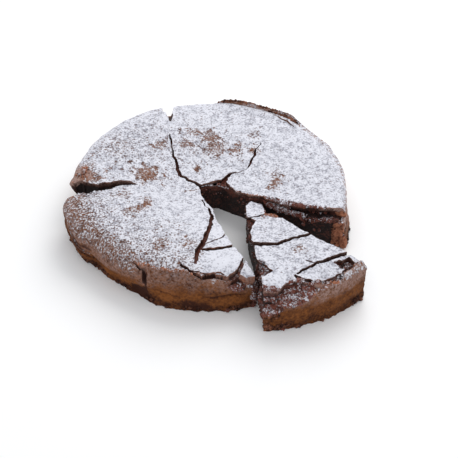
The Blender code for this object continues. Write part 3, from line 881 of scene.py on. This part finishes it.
def blend(tree, share, first, second):
    """Colour between two colours."""
    inputs = {"Factor": share, 6: first, 7: second}
    return add_node(tree, "ShaderNodeMix", inputs, data_type="RGBA").outputs[2]


def attribute(tree, name):
    """Number that is kept on the mesh's points."""
    return add_node(tree, "ShaderNodeAttribute", {}, attribute_name=name).outputs["Fac"]


class Grain:
    """Noise outputs in millimetres of the part's own space."""

    def __init__(self, tree):
        self.tree = tree
        place = add_node(tree, "ShaderNodeTexCoord", {}).outputs["Object"]
        self.place = add_node(tree, "ShaderNodeVectorMath", {0: place, "Scale": 1.0 / MM},
                              operation="SCALE").outputs[0]

    def at(self, spacing, detail, rough):
        """Noise with its lumps a spacing apart."""
        inputs = {"Vector": self.place, "Scale": 1.0 / spacing, "Detail": detail, "Roughness": rough}
        return add_node(self.tree, "ShaderNodeTexNoise", inputs).outputs["Fac"]


def noise_sum(tree, grain, layers):
    """Sum of noises about zero, each a strength, a spacing and a detail."""
    total = 0.0
    for strength, spacing, detail in layers:
        part = calculate(tree, "SUBTRACT", grain.at(spacing, detail, NOISE_ROUGHNESS), 0.5)
        part = calculate(tree, "MULTIPLY", part, strength)
        total = calculate(tree, "ADD", part, total)
    return total


def sugar_cover(tree, grain, share):
    """How much of a place the sugar hides: more on what faces up, broken up by its grain."""
    normal = add_node(tree, "ShaderNodeNewGeometry", {}).outputs["Normal"]
    upright = add_node(tree, "ShaderNodeSeparateXYZ", {0: normal}).outputs["Z"]
    dust = calculate(tree, "MULTIPLY", attribute(tree, "dust"), share)
    lying = calculate(tree, "MULTIPLY", dust, spread(tree, upright, UPRIGHT_NORMAL, LEVEL_NORMAL))
    broken = noise_sum(tree, grain, SUGAR_GRAIN)
    broken = calculate(tree, "MULTIPLY", broken, spread(tree, lying, 0.0, COVER_FROM))
    return spread(tree, calculate(tree, "ADD", lying, broken), 0.0, COVER_FULL)


def finish_surface(tree, colour, rough, height, depth):
    """Connect colour, roughness and relief to the material's shader."""
    shader = tree.nodes["Principled BSDF"]
    feed(tree, shader.inputs["Base Color"], colour)
    feed(tree, shader.inputs["Roughness"], rough)
    relief = add_node(tree, "ShaderNodeBump", {"Height": height, "Distance": depth * MM})
    feed(tree, shader.inputs["Normal"], relief.outputs[0])


def new_material(name, specular):
    """Empty material and its nodes."""
    material = bpy.data.materials.new(name)
    material.use_nodes = True
    material.node_tree.nodes["Principled BSDF"].inputs["Specular IOR Level"].default_value = specular
    return material, material.node_tree


def sugared_material(name, light, dark, specular, low_rough, share):
    """Baked crust or crumb, dark to light by its tone, under a share of the icing sugar."""
    material, tree = new_material(name, specular)
    grain = Grain(tree)
    cover = sugar_cover(tree, grain, share)
    mottle = noise_sum(tree, grain, CRUST_MOTTLE)
    tone = calculate(tree, "ADD", attribute(tree, "tone"), mottle, clamp=True)
    base = blend(tree, tone, dark, light)
    dull = calculate(tree, "ADD", noise_sum(tree, grain, HAZE_GRAIN), 1.0)
    dull = calculate(tree, "MULTIPLY", attribute(tree, "haze"), dull, clamp=True)
    base = blend(tree, dull, base, DUSTY)
    # Grey to bright sugar: grain tone, with painted shade of ripples in the wider noise
    bright = calculate(tree, "ADD", noise_sum(tree, grain, SUGAR_TONES_AND_RIPPLE_SHADE), SUGAR_BASE_TONE)
    toned = calculate(tree, "MULTIPLY", attribute(tree, "tone"), SUGAR_TONE_SHARE)
    bright = calculate(tree, "ADD", toned, bright, clamp=True)
    sugar = blend(tree, bright, SUGAR_GREY, SUGAR_BRIGHT)
    colour = blend(tree, cover, base, sugar)
    inputs = {"Value": cover, "To Min": low_rough, "To Max": SUGAR_ROUGHNESS}
    rough = add_node(tree, "ShaderNodeMapRange", inputs)
    height = calculate(tree, "ADD", grain.at(*RELIEF_GRAIN), cover)
    finish_surface(tree, colour, rough.outputs[0], height, RELIEF_DEPTH)
    return material


def ridge_share(radius, angle, ridges):
    """1 on the bare edge of a ridge that stands up sharply."""
    share = 0.0
    for start, end, rise, begin, full in ridges:
        if full - begin < SHARP_RIDGE and radius > begin:
            crest = smooth_step(CREST_BANDS - (radius - full) / RIDGE_BAND)
            share = max(share, min(window(angle, start, end) * CREST_ENDS, 1.0) * crest)
    return share


def near_spots(x, y, spots):
    """Sum of the amounts of the spots that a plan point lies in, with ragged outlines."""
    total = 0.0
    for spot_x, spot_y, reach, amount in spots:
        away = math.hypot(x - spot_x, y - spot_y) / reach
        if away < SPOT_REACH:
            away *= 1.0 + SPOT_RAGGED * bumps(SPOT_JITTER, x, y, SPOT_LEVEL)
            total += amount * smooth_step((1.0 - away) * SPOT_REACH)
    return total


def polar(x, y, centre):
    """Radius and azimuth about a centre."""
    x_out, y_out = x - centre[0], y - centre[1]
    return math.hypot(x_out, y_out), math.degrees(math.atan2(y_out, x_out))


def wall_polar(x, y, z, centre):
    """Radius and azimuth about a centre, with the radius as it was before the wall was pushed."""
    radius, angle = polar(x, y, centre)
    if centre == ROUND_CENTRE and radius > SHOULDER_START:
        radius -= wall_push(angle, z, ROUND_SPREADS)
    return radius, angle


def sugar_share(x, y, z, centre):
    """How thickly the sugar lies on the crust at a place: more than 1 where it covers all."""
    radius, angle = polar(x, y, centre)
    thin = THIN_SHARE * near_spots(x, y, THIN_SUGAR)
    share = SUGAR_SHARE - thin + near_spots(x, y, BRIGHT_SUGAR)
    ridges, losses = WEDGE_RIDGES, WEDGE_LOSSES
    if centre == ROUND_CENTRE:
        ridges, losses = ROUND_RIDGES, ROUND_LOSSES
        share -= SPARSE_SHARE * sparse_share(x, radius, angle)
    wander = bumps(SUGAR_EDGE_JITTER, x, y)
    for amount, start, end, begin, run, ragged in losses:
        share -= amount * window(angle, start, end) * ramp(radius + ragged * wander, begin, run)
    if centre == ROUND_CENTRE:
        share *= 1.0 - BARE_RIDGE * min(crease(angle, z), 1.0)
    share = max(share, LEAST_SUGAR) * (1.0 - BARE_RIDGE * ridge_share(radius, angle, ridges))
    share *= 1.0 - in_crack(x, y, z, centre)
    return share * smooth_step((z - height_at(x, y, centre) + SUGAR_DOWN) / SUGAR_DOWN_FADE)


def sparse_share(x, radius, angle):
    """How much thinner the sugar gets towards the rim at the left and at the front left."""
    return window(angle, *SPARSE_WINDOW) * (1.0 - ramp(x, *SPARSE_END)) * ramp(radius, *SPARSE_RADIUS)


def in_crack(x, y, z, centre):
    """1 on the faces inside a crack, below its edges."""
    edges = WEDGE_EDGES if centre == WEDGE_CENTRE else ROUND_EDGES
    below = height_at(x, y, centre) - z
    radius, angle = polar(x, y, centre)
    if radius > WALL_FROM and PLAIN_WALL[0] < angle < PLAIN_WALL[1]:
        return 0.0
    return edges.nearness(x, y) * ramp(below, *CRACK_INSIDE)


def haze_share(x, y, z, centre):
    """Fine sugar that dulls the bare crust, most of it high on the wall."""
    radius, angle = wall_polar(x, y, z, centre)
    depth = height_at(x, y, centre) - z + bumps(HAZE_WANDER, x, y, z)
    top, reach, lying, ridges = WALL_HAZE, WALL_HAZE_REACH, TOP_HAZE, WEDGE_RIDGES
    if centre == ROUND_CENTRE:
        ridges = ROUND_RIDGES
        reach += sum(change * window(angle, start, end) for change, start, end in ROUND_HAZE_REACH)
        top += sum(change * window(angle, start, end) for change, start, end in ROUND_HAZE)
        top *= 1.0 - min(2.0 * crease(angle, z), 1.0)
        lying -= SPARSE_HAZE_LOSS * sparse_share(x, radius, angle)
    wall = ramp(radius, *HAZE_WALL)
    haze = top * wall * smooth_step(1.0 - depth / reach)
    haze += lying * (1.0 - wall) * smooth_step(1.0 - depth / TOP_HAZE_REACH)
    haze += near_spots(x, y, HAZE_SPOTS) * smooth_step(1.0 - depth / SPOT_HAZE_REACH)
    haze += RIDGE_HAZE[y >= 0.0] * ridge_share(radius, angle, ridges)
    return max(haze, 0.0) * (1.0 - in_crack(x, y, z, centre))


def crust_tone(x, y, z, centre):
    """How light the bare crust is at a place: warm and pale half way up the wall, with painted shade down
    in cracks, in creases and in given spots, and a painted highlight on ridge crests.
    """
    radius, angle = wall_polar(x, y, z, centre)
    wander = bumps(TONE_WANDER, x, y, z)
    wall = ramp(radius, *TONE_WALL)
    depth = height_at(x, y, centre) - z
    tone = FOOT_TONE + WALL_TONE * ramp(z + wander, *TONE_RISE) * wall
    # Painted shade: the top's crust darkens with depth below its surface
    tone += (TOP_TONE - DEPTH_PAINTED_SHADE * ramp(depth, *SHADE_DEPTH_RUN)) * (1.0 - wall)
    # Painted shade: darker crust and sugar in the given spots
    tone -= near_spots(x, y, PAINTED_SHADE_SPOTS) * (1.0 - wall)
    ridges = WEDGE_RIDGES
    if centre == ROUND_CENTRE:
        ridges = ROUND_RIDGES
        tone += near_spots(x, y, BRIGHT_SUGAR) * (1.0 - wall)
        tone -= SPARSE_TONE_LOSS * sparse_share(x, radius, angle) * ramp(z, *SPARSE_TONE_RISE)
        for at, height, along, up, change in WALL_PATCHES:
            sweep = math.radians((angle - at + 180.0) % 360.0 - 180.0) * RADIUS / along
            away = math.hypot(sweep, (z + wander - height) / up)
            tone += change * smooth_step((1.0 - away) * PATCH_EDGE)
        # Painted shade in the wall's creases
        shoulder = ramp(radius, SHOULDER_START, CREASE_SHADE_RUN)
        tone -= CREASE_PAINTED_SHADE * min(crease(angle, z), 1.0) * shoulder
    # Painted highlight on ridge crests
    tone += RIDGE_PAINTED_HIGHLIGHT[y >= 0.0] * ridge_share(radius, angle, ridges)
    # Painted shade inside cracks
    return tone - CRACK_PAINTED_SHADE * in_crack(x, y, z, centre)


def crumb_tone(x, y, z, centre):
    """How red the crumb is: red-brown just under the crust, near black below."""
    depth = height_at(x, y, centre) - SKIN - z + bumps(CRUMB_WANDER, x, y, z)
    return CRUMB_TONE * smooth_step(1.0 - depth / CRUMB_TONE_REACH) - near_spots(x, y, DARK_CRUMB)


def crumb_dust(x, y, z, centre):
    """Sugar that fell on the crumb where the crust has broken away."""
    above = z - height_at(x, y, centre) + CRUMB_DUST_REACH
    return near_spots(x, y, DUSTED_CRUMB) * smooth_step(above / CRUMB_DUST_FADE)


def keep_numbers(piece, name, rule, centre):
    """Keep a number on each point of the mesh for its material."""
    values = []
    for vertex in piece.data.vertices:
        x, y, z = (value / MM for value in vertex.co)
        values.append(rule(x - AXIS[0], y - AXIS[1], z, centre))
    layer = piece.data.attributes.new(name, "FLOAT", "POINT")
    layer.data.foreach_set("value", values)


def soften(piece, angle):
    """Smooth shading with edges sharper than an angle kept sharp."""
    piece.data.shade_smooth()
    piece.data.set_sharp_from_angle(angle=math.radians(angle))


def make_skin(name, centre, ridges, spreads, edges, materials):
    """Closed skin of crust before it is cut."""
    outer, inner = skin_rings()
    points, faces = turned(outer + inner)
    outer_count = sum(steps for radius, height, steps in outer)
    shaped = shape_points(points, outer_count, centre, ridges, spreads, edges)
    return mesh_object(name, shaped, faces, materials)


def make_core(name, centre, spreads, materials):
    """Closed core of crumb before it is cut."""
    outer, inner = core_rings()
    points, faces = turned(outer + inner)
    shaped = shape_points(points, 0, centre, (), spreads, None)
    return mesh_object(name, shaped, faces, materials)


def inside_box(place, margin=0.0):
    """Nearest place in the box of the part's solids, or in the box less a margin."""
    return Vector([min(max(value, low + margin), high - margin)
                   for value, low, high in zip(place, cad_low, cad_high)])


def hand_over(piece, angle, node=None):
    """Shade a piece, hang it from the root body, and hide the model's part that it stands in for, if one
    is given.
    """
    soften(piece, angle)
    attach(piece, "root")
    if node:
        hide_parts(node)
    return piece


def finish_piece(piece, node, dust, tone, centre):
    """Keep a crust or a crumb core inside the box, with the numbers for its material."""
    for vertex in piece.data.vertices:
        vertex.co = inside_box(vertex.co)
    keep_numbers(piece, "dust", dust, centre)
    keep_numbers(piece, "tone", tone, centre)
    if tone is crust_tone:
        keep_numbers(piece, "haze", haze_share, centre)
    return hand_over(piece, SHARP_EDGE, node)


crust = sugared_material("sugared_crust", CRUST_TAN, CRUST_DARK, specular=0.08, low_rough=0.75, share=1.0)
edge = sugared_material("crust_edge", EDGE_LIGHT, EDGE_DARK, specular=0.15, low_rough=0.75, share=0.45)
crumb = sugared_material("chocolate_crumb", CRUMB_RED, CRUMB_BLACK, specular=0.3, low_rough=0.6, share=1.0)

ROUND_EDGES = CrackEdges({**ROUND_CRACKS, "split_left": ROUND_SPLITS["split_left"]})
WEDGE_EDGES = CrackEdges(WEDGE_CRACKS)


def open_notch(piece, material):
    """Cutters of the wedge's empty place for the round's crust or for its crumb."""
    if material is edge:
        return notch_cutters(material, (), 0.0, CRUST_ROWS)
    return notch_cutters(material, CRUMB_BUMPS, CUT_RECESS, CRUMB_ROWS) + [hollow_cutter(material)]


def trim_wedge(piece, material):
    """Trim the wedge's crust or its crumb to the two cuts, which leaves no more to cut off."""
    if material is edge:
        prism = wedge_prism(material, CRUST_EDGE_JITTER, 0.0, CRUST_ROWS)
    else:
        prism = wedge_prism(material, CRUMB_BUMPS, CUT_RECESS, CRUMB_ROWS)
    carve(piece, [prism], "INTERSECT")
    return []


def make_part(name, node, centre, ridges, spreads, edges, cracks, pits, shape):
    """Crust and crumb of the round or of the wedge."""
    skin = make_skin(name + "_crust", centre, ridges, spreads, edges, [crust])
    core = make_core(name + "_crumb", centre, spreads, [crumb])
    kinds = ((skin, edge, 0.0, 0.0), (core, crumb, CRACK_UNDERCUT, PIT_DROP))
    for piece, material, undercut, drop in kinds:
        cutters = shape(piece, material)
        cutters += [crack_cutter(key, points, centre, material, undercut)
                    for key, points in cracks.items()]
        cutters += [pit_cutter(key, points, material, drop) for key, points in pits.items()]
        carve(piece, cutters, "DIFFERENCE")
    finish_piece(skin, node, sugar_share, crust_tone, centre)
    finish_piece(core, None, crumb_dust, crumb_tone, centre)
    return skin, core


# Loose crumbs that fell in an outline: plan points, how many, smallest and largest size,
# sugar on them and how red they are
ROUND_FALLS = (
    ((RIGHT_CRUST[7:13] + RIGHT_CUT[8:3:-1]), 700, 0.9, 3.2, 0.45, 0.8),
    (((16, -119), (25, -115), (31, -116), (39, -114), (41, -122), (36, -125), (20, -124)),
     480, 0.9, 4.8, 0.45, 0.6),
    (((8, 8), (14, 8), (22, -4), (34, -12), (30, -12), (18, -3), (8, 5)), 90, 0.7, 2, 0.3, 1),
)
WEDGE_FALLS = (
    (((38, -124), (46, -129), (54, -130), (61, -124), (70, -121), (84, -124), (78, -133), (62, -137),
      (48, -139), (40, -139)), 680, 0.9, 4.6, 0.38, 1.15),
    (((33, -92), (38, -95), (50, -112), (45, -117), (34, -119)), 300, 0.9, 3.8, 0.3, 0.45),
    (((98, -101), (110, -96), (115, -103), (104, -107)), 170, 0.9, 3.4, 0.25, 0.5),
    (((66, -118), (74, -122), (84, -123), (94, -120), (104, -113), (104, -116), (94, -123), (84, -126),
      (72, -125)), 120, 0.7, 2.2, 0.3, 0.35),
    (((46.5, -22), (55, -33), (62, -42), (54, -41), (48.5, -37)), 70, 0.7, 2.2, 0.2, 0.8),
    (((31, -38), (35, -40), (36, -46), (34, -54), (31, -54)), 60, 0.7, 2.2, 0.2, 0.6),
    (((32, -76), (44, -78), (44, -80.5), (33, -81.5)), 50, 0.6, 1.6, 0.1, 0.7),
)


def band(line, half):
    """Outline of a strip along a plan line."""
    line = finer([point[:2] for point in line], 4.0)
    sides = [sideways(line, i) * half for i in range(len(line))]
    left = [(x + side.x, y + side.y) for (x, y), side in zip(line, sides)]
    right = [(x - side.x, y - side.y) for (x, y), side in zip(line, sides)]
    return left + right[::-1]


def circle_arc(radius, start, end, centre):
    """Plan points of an arc between two azimuths."""
    count = max(2, round(abs(end - start) / 4.0))
    turns = [math.radians(start + (end - start) * i / count) for i in range(count + 1)]
    return tuple((radius * math.cos(t) + centre[0], radius * math.sin(t) + centre[1]) for t in turns)


# Flakes of crust that stand clear of the rest: plan x, plan y and height over the crust's level
RAISED_FLAKE = (
    (44, -39.4, 0.4), (47, -37.8, 1.2), (51, -36.8, 1.9), (55, -37.6, 1.7), (58, -38.8, 1.2),
    (58.4, -41, 0.6), (55, -42, 0.6), (51, -43.2, 0.1), (48, -42, 0.4), (45, -42.6, 0),
)

# Crumbs that stick to an upright face: plan line with the face on its left, lowest and highest
# place, how many, smallest and largest size, sugar and redness
ROUND_STICKS = (
    (RIGHT_CUT[4:8], 21, 27, 260, 0.8, 2.4, 0.5, 1),
    (RIGHT_CUT[4:7], 22.5, 26.5, 130, 1.8, 4.6, 0.75, 1.3),
    (RIGHT_CUT[:6], 15, 27, 240, 0.7, 2.2, 0.15, 0.9),
    # Painted light: this row's redness is raised past the crumb's own colour, for crumbs that lie in shade
    # on the cut face
    (RIGHT_CUT[6:9], 13, 27, 300, 0.8, 2.8, 0.25, 1.4),
    (RIGHT_CUT[:9], 1, 20, 140, 0.6, 1.4, 0, 0.15),
    (LEFT_CUT[11:8:-1], 3, 25, 130, 2, 5, 0.35, 0.4),
    (LEFT_CUT[11:9:-1], 2, 22, 90, 4, 8, 0.3, 0.5),
    (LEFT_CUT[::-1], 2, 26, 200, 0.6, 2, 0.1, 0.5),
)
WEDGE_STICKS = (
    (WEDGE_BASE[1:9], 4, 28, 420, 0.7, 2.8, 0.25, 0.6),
    (WEDGE_BASE_RIGHT[1:6], 2, 26, 150, 0.6, 1.8, 0.1, 0.5),
    (WEDGE_BASE[6:9], 2, 27, 200, 2.2, 5, 0.2, 0.6),
    (WEDGE_BASE[8:10], 1, 18, 150, 0.8, 3, 0.3, 0.8),
)
# The same for crumbs of baked crust, along the foot and where the cut leaves the wall
ROUND_WALL_FALLS = (
    (band(circle_arc(115.6, 241, 269, ROUND_CENTRE), 0.9), 230, 0.7, 2.2, 0.9, 1.1),
    (band(circle_arc(119.4, 46, 86, ROUND_CENTRE), 1), 520, 1, 2.5, 0, 0.25),
    (((-119, -8), (-104, -10), (-102, 12), (-112, 18)), 40, 1.2, 3.4, 0.45, 0.8),
    (band(RIGHT_CRUST[5:13], 0.7), 300, 0.5, 1.5, 0.1, 1),
)
ROUND_WALL_STICKS = (
    (circle_arc(RADIUS, 0, 360, ROUND_CENTRE), 0.2, 4.5, 1500, 0.8, 3.2, 0, 0.15),
    (circle_arc(RADIUS, -30, -17, ROUND_CENTRE), 0.5, 18, 260, 0.8, 3, 0.2, 0.7),
    (((107, -42), (112, -43.4), (122, -46)), 1, 30, 520, 0.8, 4.6, 0.05, 1.1),
)
WEDGE_WALL_FALLS = (
    (band(circle_arc(114.9, -64, -39, WEDGE_CENTRE), 0.8), 230, 0.6, 2, 0.9, 1.1),
    (band(circle_arc(118.4, -86.5, -58, WEDGE_CENTRE), 1.2), 330, 0.7, 2.4, 0.8, 1),
    (band(RAISED_FLAKE[:6], 2.4), 60, 0.6, 1.8, 0.6, 1),
)
WEDGE_WALL_STICKS = (
    (circle_arc(RADIUS, -86, -37, WEDGE_CENTRE), 0.2, 5.5, 700, 0.8, 3.2, 0, 0.2),
    (circle_arc(RADIUS, -88, -80, WEDGE_CENTRE), 1, 20, 120, 0.8, 2.6, 0.2, 0.4),
)
START_AWAY = 9.0
# Sizes from which a crumb is made of a finer ball, and how ragged and stretched it is
LUMP_SIZES = (1.3, 2.6)
LUMP_NOISE = ((0.55, 3.2), (0.275, 8.0))
LUMP_STRETCH = (0.7, 1.25)
LUMP_TURN = 6.28
LUMP_LEVELS = 40.0
SMALL_SHARE = 2.5
# Upright faces bear crumbs in clusters, unless the crumbs are as large as clods
CLUSTER_BUMPS = ((1.0, 11.0),)
CLUSTER_LIMIT = 0.08
CLOD = 4.5
SUNK = 0.08
LEAST_FACING = -0.4
# Sugar on a crumb fades below this height, and its random share rises to the most
DUSTED_FROM = 16.0
MOST_DUST, DUST_POWER = 2.4, 1.5
TONE_SPREAD = (0.4, 1.4)


def lump_shapes():
    """Points and faces of coarse to fine balls, from which crumbs are made."""
    shapes = []
    for divisions in (1, 2, 3):
        ball = bmesh.new()
        bmesh.ops.create_icosphere(ball, subdivisions=divisions, radius=0.5)
        shapes.append(([point.co.copy() for point in ball.verts],
                       [tuple(point.index for point in face.verts) for face in ball.faces]))
        ball.free()
    return shapes


class Crumbs:
    """Collects loose crumbs, each a small ragged lump, into one mesh."""

    def __init__(self, name, solids, seed):
        self.name = name
        graph = bpy.context.evaluated_depsgraph_get()
        self.trees = [BVHTree.FromObject(solid, graph) for solid in solids]
        self.random = random.Random(seed)
        self.shapes = lump_shapes()
        self.points, self.faces, self.dust, self.tone = [], [], [], []

    def hit(self, start, direction):
        """Nearest place where a ray meets the solids, in metres, and the way the face there looks."""
        found = [tree.ray_cast(start, direction) for tree in self.trees]
        found = [(away, place, normal) for place, normal, index, away in found if place is not None]
        return min(found, key=lambda item: item[0])[1:] if found else (None, None)

    def lump(self, place, size, dust, tone):
        """Add a ragged lump at a place, inside the part's box."""
        points, faces = self.shapes[sum(size >= limit for limit in LUMP_SIZES)]
        turn = Matrix.Rotation(self.random.uniform(0.0, LUMP_TURN), 3, Vector(self.unit()))
        stretch = Vector([self.random.uniform(*LUMP_STRETCH) for axis in range(3)])
        offset = Vector(self.unit()) * LUMP_LEVELS
        centre = inside_box(place, size * 0.5 * MM)
        start = len(self.points)
        for point in points:
            ragged = 1.0
            for share, scale in LUMP_NOISE:
                ragged += share * noise.noise(point * scale + offset)
            moved = turn @ Vector([a * b for a, b in zip(point, stretch)]) * ragged
            self.points.append(centre + moved * size * MM)
        self.faces += [tuple(index + start for index in face) for face in faces]
        self.dust += [dust] * len(points)
        self.tone += [tone] * len(points)

    def unit(self):
        """Random direction."""
        turn = self.random.uniform(0.0, 2.0 * math.pi)
        up = self.random.uniform(-1.0, 1.0)
        flat = math.sqrt(1.0 - up * up)
        return (flat * math.cos(turn), flat * math.sin(turn), up)

    def size(self, smallest, largest):
        """Random size: small crumbs are many and large ones few."""
        return smallest + (largest - smallest) * self.random.random() ** SMALL_SHARE

    def add(self, start, direction, smallest, largest, dust, tone):
        """One crumb where a ray meets the solids, sunk a little into them."""
        direction = Vector(direction)
        size = self.size(smallest, largest)
        fallen = dust * MOST_DUST * self.random.random() ** DUST_POWER
        red = tone * self.random.uniform(*TONE_SPREAD)
        place, normal = self.hit(Vector(start) * MM, direction)
        if place is not None and normal.dot(direction) < LEAST_FACING:
            fallen *= smooth_step(place.z / MM / DUSTED_FROM)
            self.lump(place - direction * size * SUNK * MM, size, fallen, red)

    def fall(self, outline, count, *kind):
        """Crumbs on what lies under an outline."""
        low_x, high_x = min(p[0] for p in outline), max(p[0] for p in outline)
        low_y, high_y = min(p[1] for p in outline), max(p[1] for p in outline)
        placed = 0
        while placed < count:
            x, y = self.random.uniform(low_x, high_x), self.random.uniform(low_y, high_y)
            if within(x, y, outline):
                start = (x + AXIS[0], y + AXIS[1], CLEAR_ABOVE)
                self.add(start, (0.0, 0.0, -1.0), *kind)
                placed += 1

    def stick(self, line, low, high, count, smallest, largest, *look):
        """Crumbs on an upright face that is on the left of a plan line."""
        fine = finer(line, 2.0)
        for i in range(count):
            index = self.random.randrange(len(fine))
            across = sideways(fine, index)
            start = Vector(fine[index]) - across * START_AWAY
            height = self.random.uniform(low, high)
            cluster = bumps(CLUSTER_BUMPS, start.x, start.y, height)
            if largest < CLOD and cluster < CLUSTER_LIMIT:
                continue
            self.add((start.x + AXIS[0] + self.random.uniform(-1.0, 1.0), start.y + AXIS[1], height),
                     (across.x, across.y, 0.0), smallest, largest, *look)

    def finish(self, material):
        """The crumbs as one piece."""
        mesh = bpy.data.meshes.new(self.name)
        mesh.from_pydata([inside_box(point) for point in self.points], [], self.faces)
        mesh.materials.append(material)
        for name, values in (("dust", self.dust), ("tone", self.tone)):
            mesh.attributes.new(name, "FLOAT", "POINT").data.foreach_set("value", values)
        return hand_over(new_object(self.name, mesh), SHARP_CRUMB)


def within(x, y, outline):
    """Whether a plan point is inside an outline."""
    inside = False
    for i, point in enumerate(outline):
        before = outline[i - 1]
        if (point[1] > y) != (before[1] > y):
            cross = before[0] + (y - before[1]) / (point[1] - before[1]) * (point[0] - before[0])
            inside = inside != (x < cross)
    return inside


FLAKE_JITTER = ((0.7, 3.0), (0.4, 1.3))
FLAKE_BUMPS = ((0.8, 3.0), (0.5, 1.4))
FLAKE_SPACING = 0.8
# Rings of the flake from its underside to the middle of its top: share of its outline, and drop
FLAKE_RINGS = ((0.92, 1.5), (1.0, 0.3), (0.9, 0.0), (0.6, 0.0), (0.3, 0.0))
FLAKE_DUST, FLAKE_TONE = 0.3, 0.6


def make_flake(name, points, centre):
    """A thin piece of broken crust with a ragged outline."""
    line = jagged(tuple(points) + (points[0],), FLAKE_SPACING, FLAKE_JITTER)[:-1]
    middle = [sum(point[axis] for point in line) / len(line) for axis in range(3)]
    rings = []
    for share, drop in FLAKE_RINGS:
        ring = []
        for point in line:
            x, y, rise = (m + (value - m) * share for m, value in zip(middle, point))
            top = height_at(x, y, centre) + rise + bumps(FLAKE_BUMPS, x, y)
            ring.append((x, y, top - drop))
        rings.append(ring)
    flake = loft(name, rings, edge)
    keep_numbers(flake, "dust", lambda x, y, z, c: FLAKE_DUST, centre)
    keep_numbers(flake, "tone", lambda x, y, z, c: FLAKE_TONE, centre)
    return hand_over(flake, SHARP_FLAKE)


def make_crumbs(name, solids, falls, sticks, seed, material):
    """Loose crumbs of one kind, of the round or of the wedge."""
    crumbs = Crumbs(name, solids, seed)
    for group in falls:
        crumbs.fall(*group)
    for group in sticks:
        crumbs.stick(*group)
    return crumbs.finish(material)


# The camera looks down at the round's base from a distance that the outline was fitted at
VIEW_DISTANCE = 700.0
VIEW_DOWN = 40.05
VIEW_ROLL = 1.3
IMAGE_SIDE = 458.0
FOCAL_PIXELS = 785.0
AXIS_PIXEL = (207.1, 211.6)
FLOOR_SIDE = 4.0
FLOOR_SPECULAR = 0.2
SKY_COLOUR = (0.95, 0.97, 1.0, 1.0)
SKY_STRENGTH = 0.78
# Lights in metres and watts: place, side, power, colour
LIGHTS = {
    "key": ((0.35, 0.75, 0.95), 0.9, 8.5, (1.0, 0.985, 0.97)),
    "fill": ((-0.5, -0.6, 0.7), 1.0, 1.0, (1.0, 0.97, 0.95)),
}


def make_camera():
    """Camera at the photograph's viewing angle."""
    data = bpy.data.cameras.new("camera")
    camera = new_object("camera", data)
    down = math.radians(VIEW_DOWN)
    data.lens = FOCAL_PIXELS / IMAGE_SIDE * data.sensor_width
    data.shift_x = (IMAGE_SIDE / 2.0 - AXIS_PIXEL[0]) / IMAGE_SIDE
    data.shift_y = (AXIS_PIXEL[1] - IMAGE_SIDE / 2.0) / IMAGE_SIDE
    back, up = VIEW_DISTANCE * math.cos(down), VIEW_DISTANCE * math.sin(down)
    place = Vector((AXIS[0], AXIS[1] - back, up))
    roll = Matrix.Rotation(math.radians(VIEW_ROLL), 4, "Z")
    turn = Matrix.Rotation(math.pi / 2.0 - down, 4, "X") @ roll
    camera.matrix_world = Matrix.Translation(place * MM) @ turn
    bpy.context.scene.camera = camera


def area_light(name, place, side, power, colour):
    """Square soft light that faces the middle of the part's base."""
    data = bpy.data.lights.new(name, "AREA")
    data.size = side
    data.energy = power
    data.color = colour
    aim = (-Vector(place)).to_track_quat("-Z", "Y").to_matrix().to_4x4()
    new_object(name, data).matrix_world = Matrix.Translation(Vector(place)) @ aim


def make_stage():
    """Pale floor, soft light from behind and above, and a pale surrounding."""
    mesh = bpy.data.meshes.new("floor")
    corners = ((-1, -1), (1, -1), (1, 1), (-1, 1))
    mesh.from_pydata([(x * FLOOR_SIDE, y * FLOOR_SIDE, 0.0) for x, y in corners], [], [(0, 1, 2, 3)])
    material, tree = new_material("floor", FLOOR_SPECULAR)
    tree.nodes["Principled BSDF"].inputs["Base Color"].default_value = FLOOR_COLOUR
    mesh.materials.append(material)
    floor = new_object("floor", mesh)
    world = bpy.data.worlds.new("surrounding")
    bpy.context.scene.world = world
    world.use_nodes = True
    background = world.node_tree.nodes["Background"]
    background.inputs["Color"].default_value = SKY_COLOUR
    background.inputs["Strength"].default_value = SKY_STRENGTH
    for name, (place, side, power, colour) in LIGHTS.items():
        area_light(name, place, side, power, colour)


make_camera()
make_stage()
ROUND_SOLIDS = make_part("round", "tart_round", ROUND_CENTRE, ROUND_RIDGES,
                         ROUND_SPREADS, ROUND_EDGES, {**ROUND_CRACKS, **ROUND_SPLITS}, ROUND_PITS,
                         open_notch)
WEDGE_SOLIDS = make_part("wedge", "cut_wedge", WEDGE_CENTRE, WEDGE_RIDGES, (),
                         WEDGE_EDGES, WEDGE_CRACKS, WEDGE_PITS, trim_wedge)
flake = make_flake("raised_flake", RAISED_FLAKE, WEDGE_CENTRE)
LOOSE = (
    ("round_loose_crumbs", ROUND_SOLIDS, ROUND_FALLS, ROUND_STICKS, crumb, "chocolate_crumb"),
    ("wedge_loose_crumbs", WEDGE_SOLIDS, WEDGE_FALLS, WEDGE_STICKS, crumb, "chocolate_crumb"),
    ("round_wall_crumbs", ROUND_SOLIDS, ROUND_WALL_FALLS, ROUND_WALL_STICKS, edge, "baked_wall"),
    ("wedge_wall_crumbs", WEDGE_SOLIDS + (flake,), WEDGE_WALL_FALLS, WEDGE_WALL_STICKS, edge,
     "baked_wall"),
)
for number, (name, solids, falls, sticks, material, slot) in enumerate(LOOSE):
    make_crumbs(name, solids, falls, sticks, SEED + number, material)

bpy.context.scene.view_settings.view_transform = "Standard"
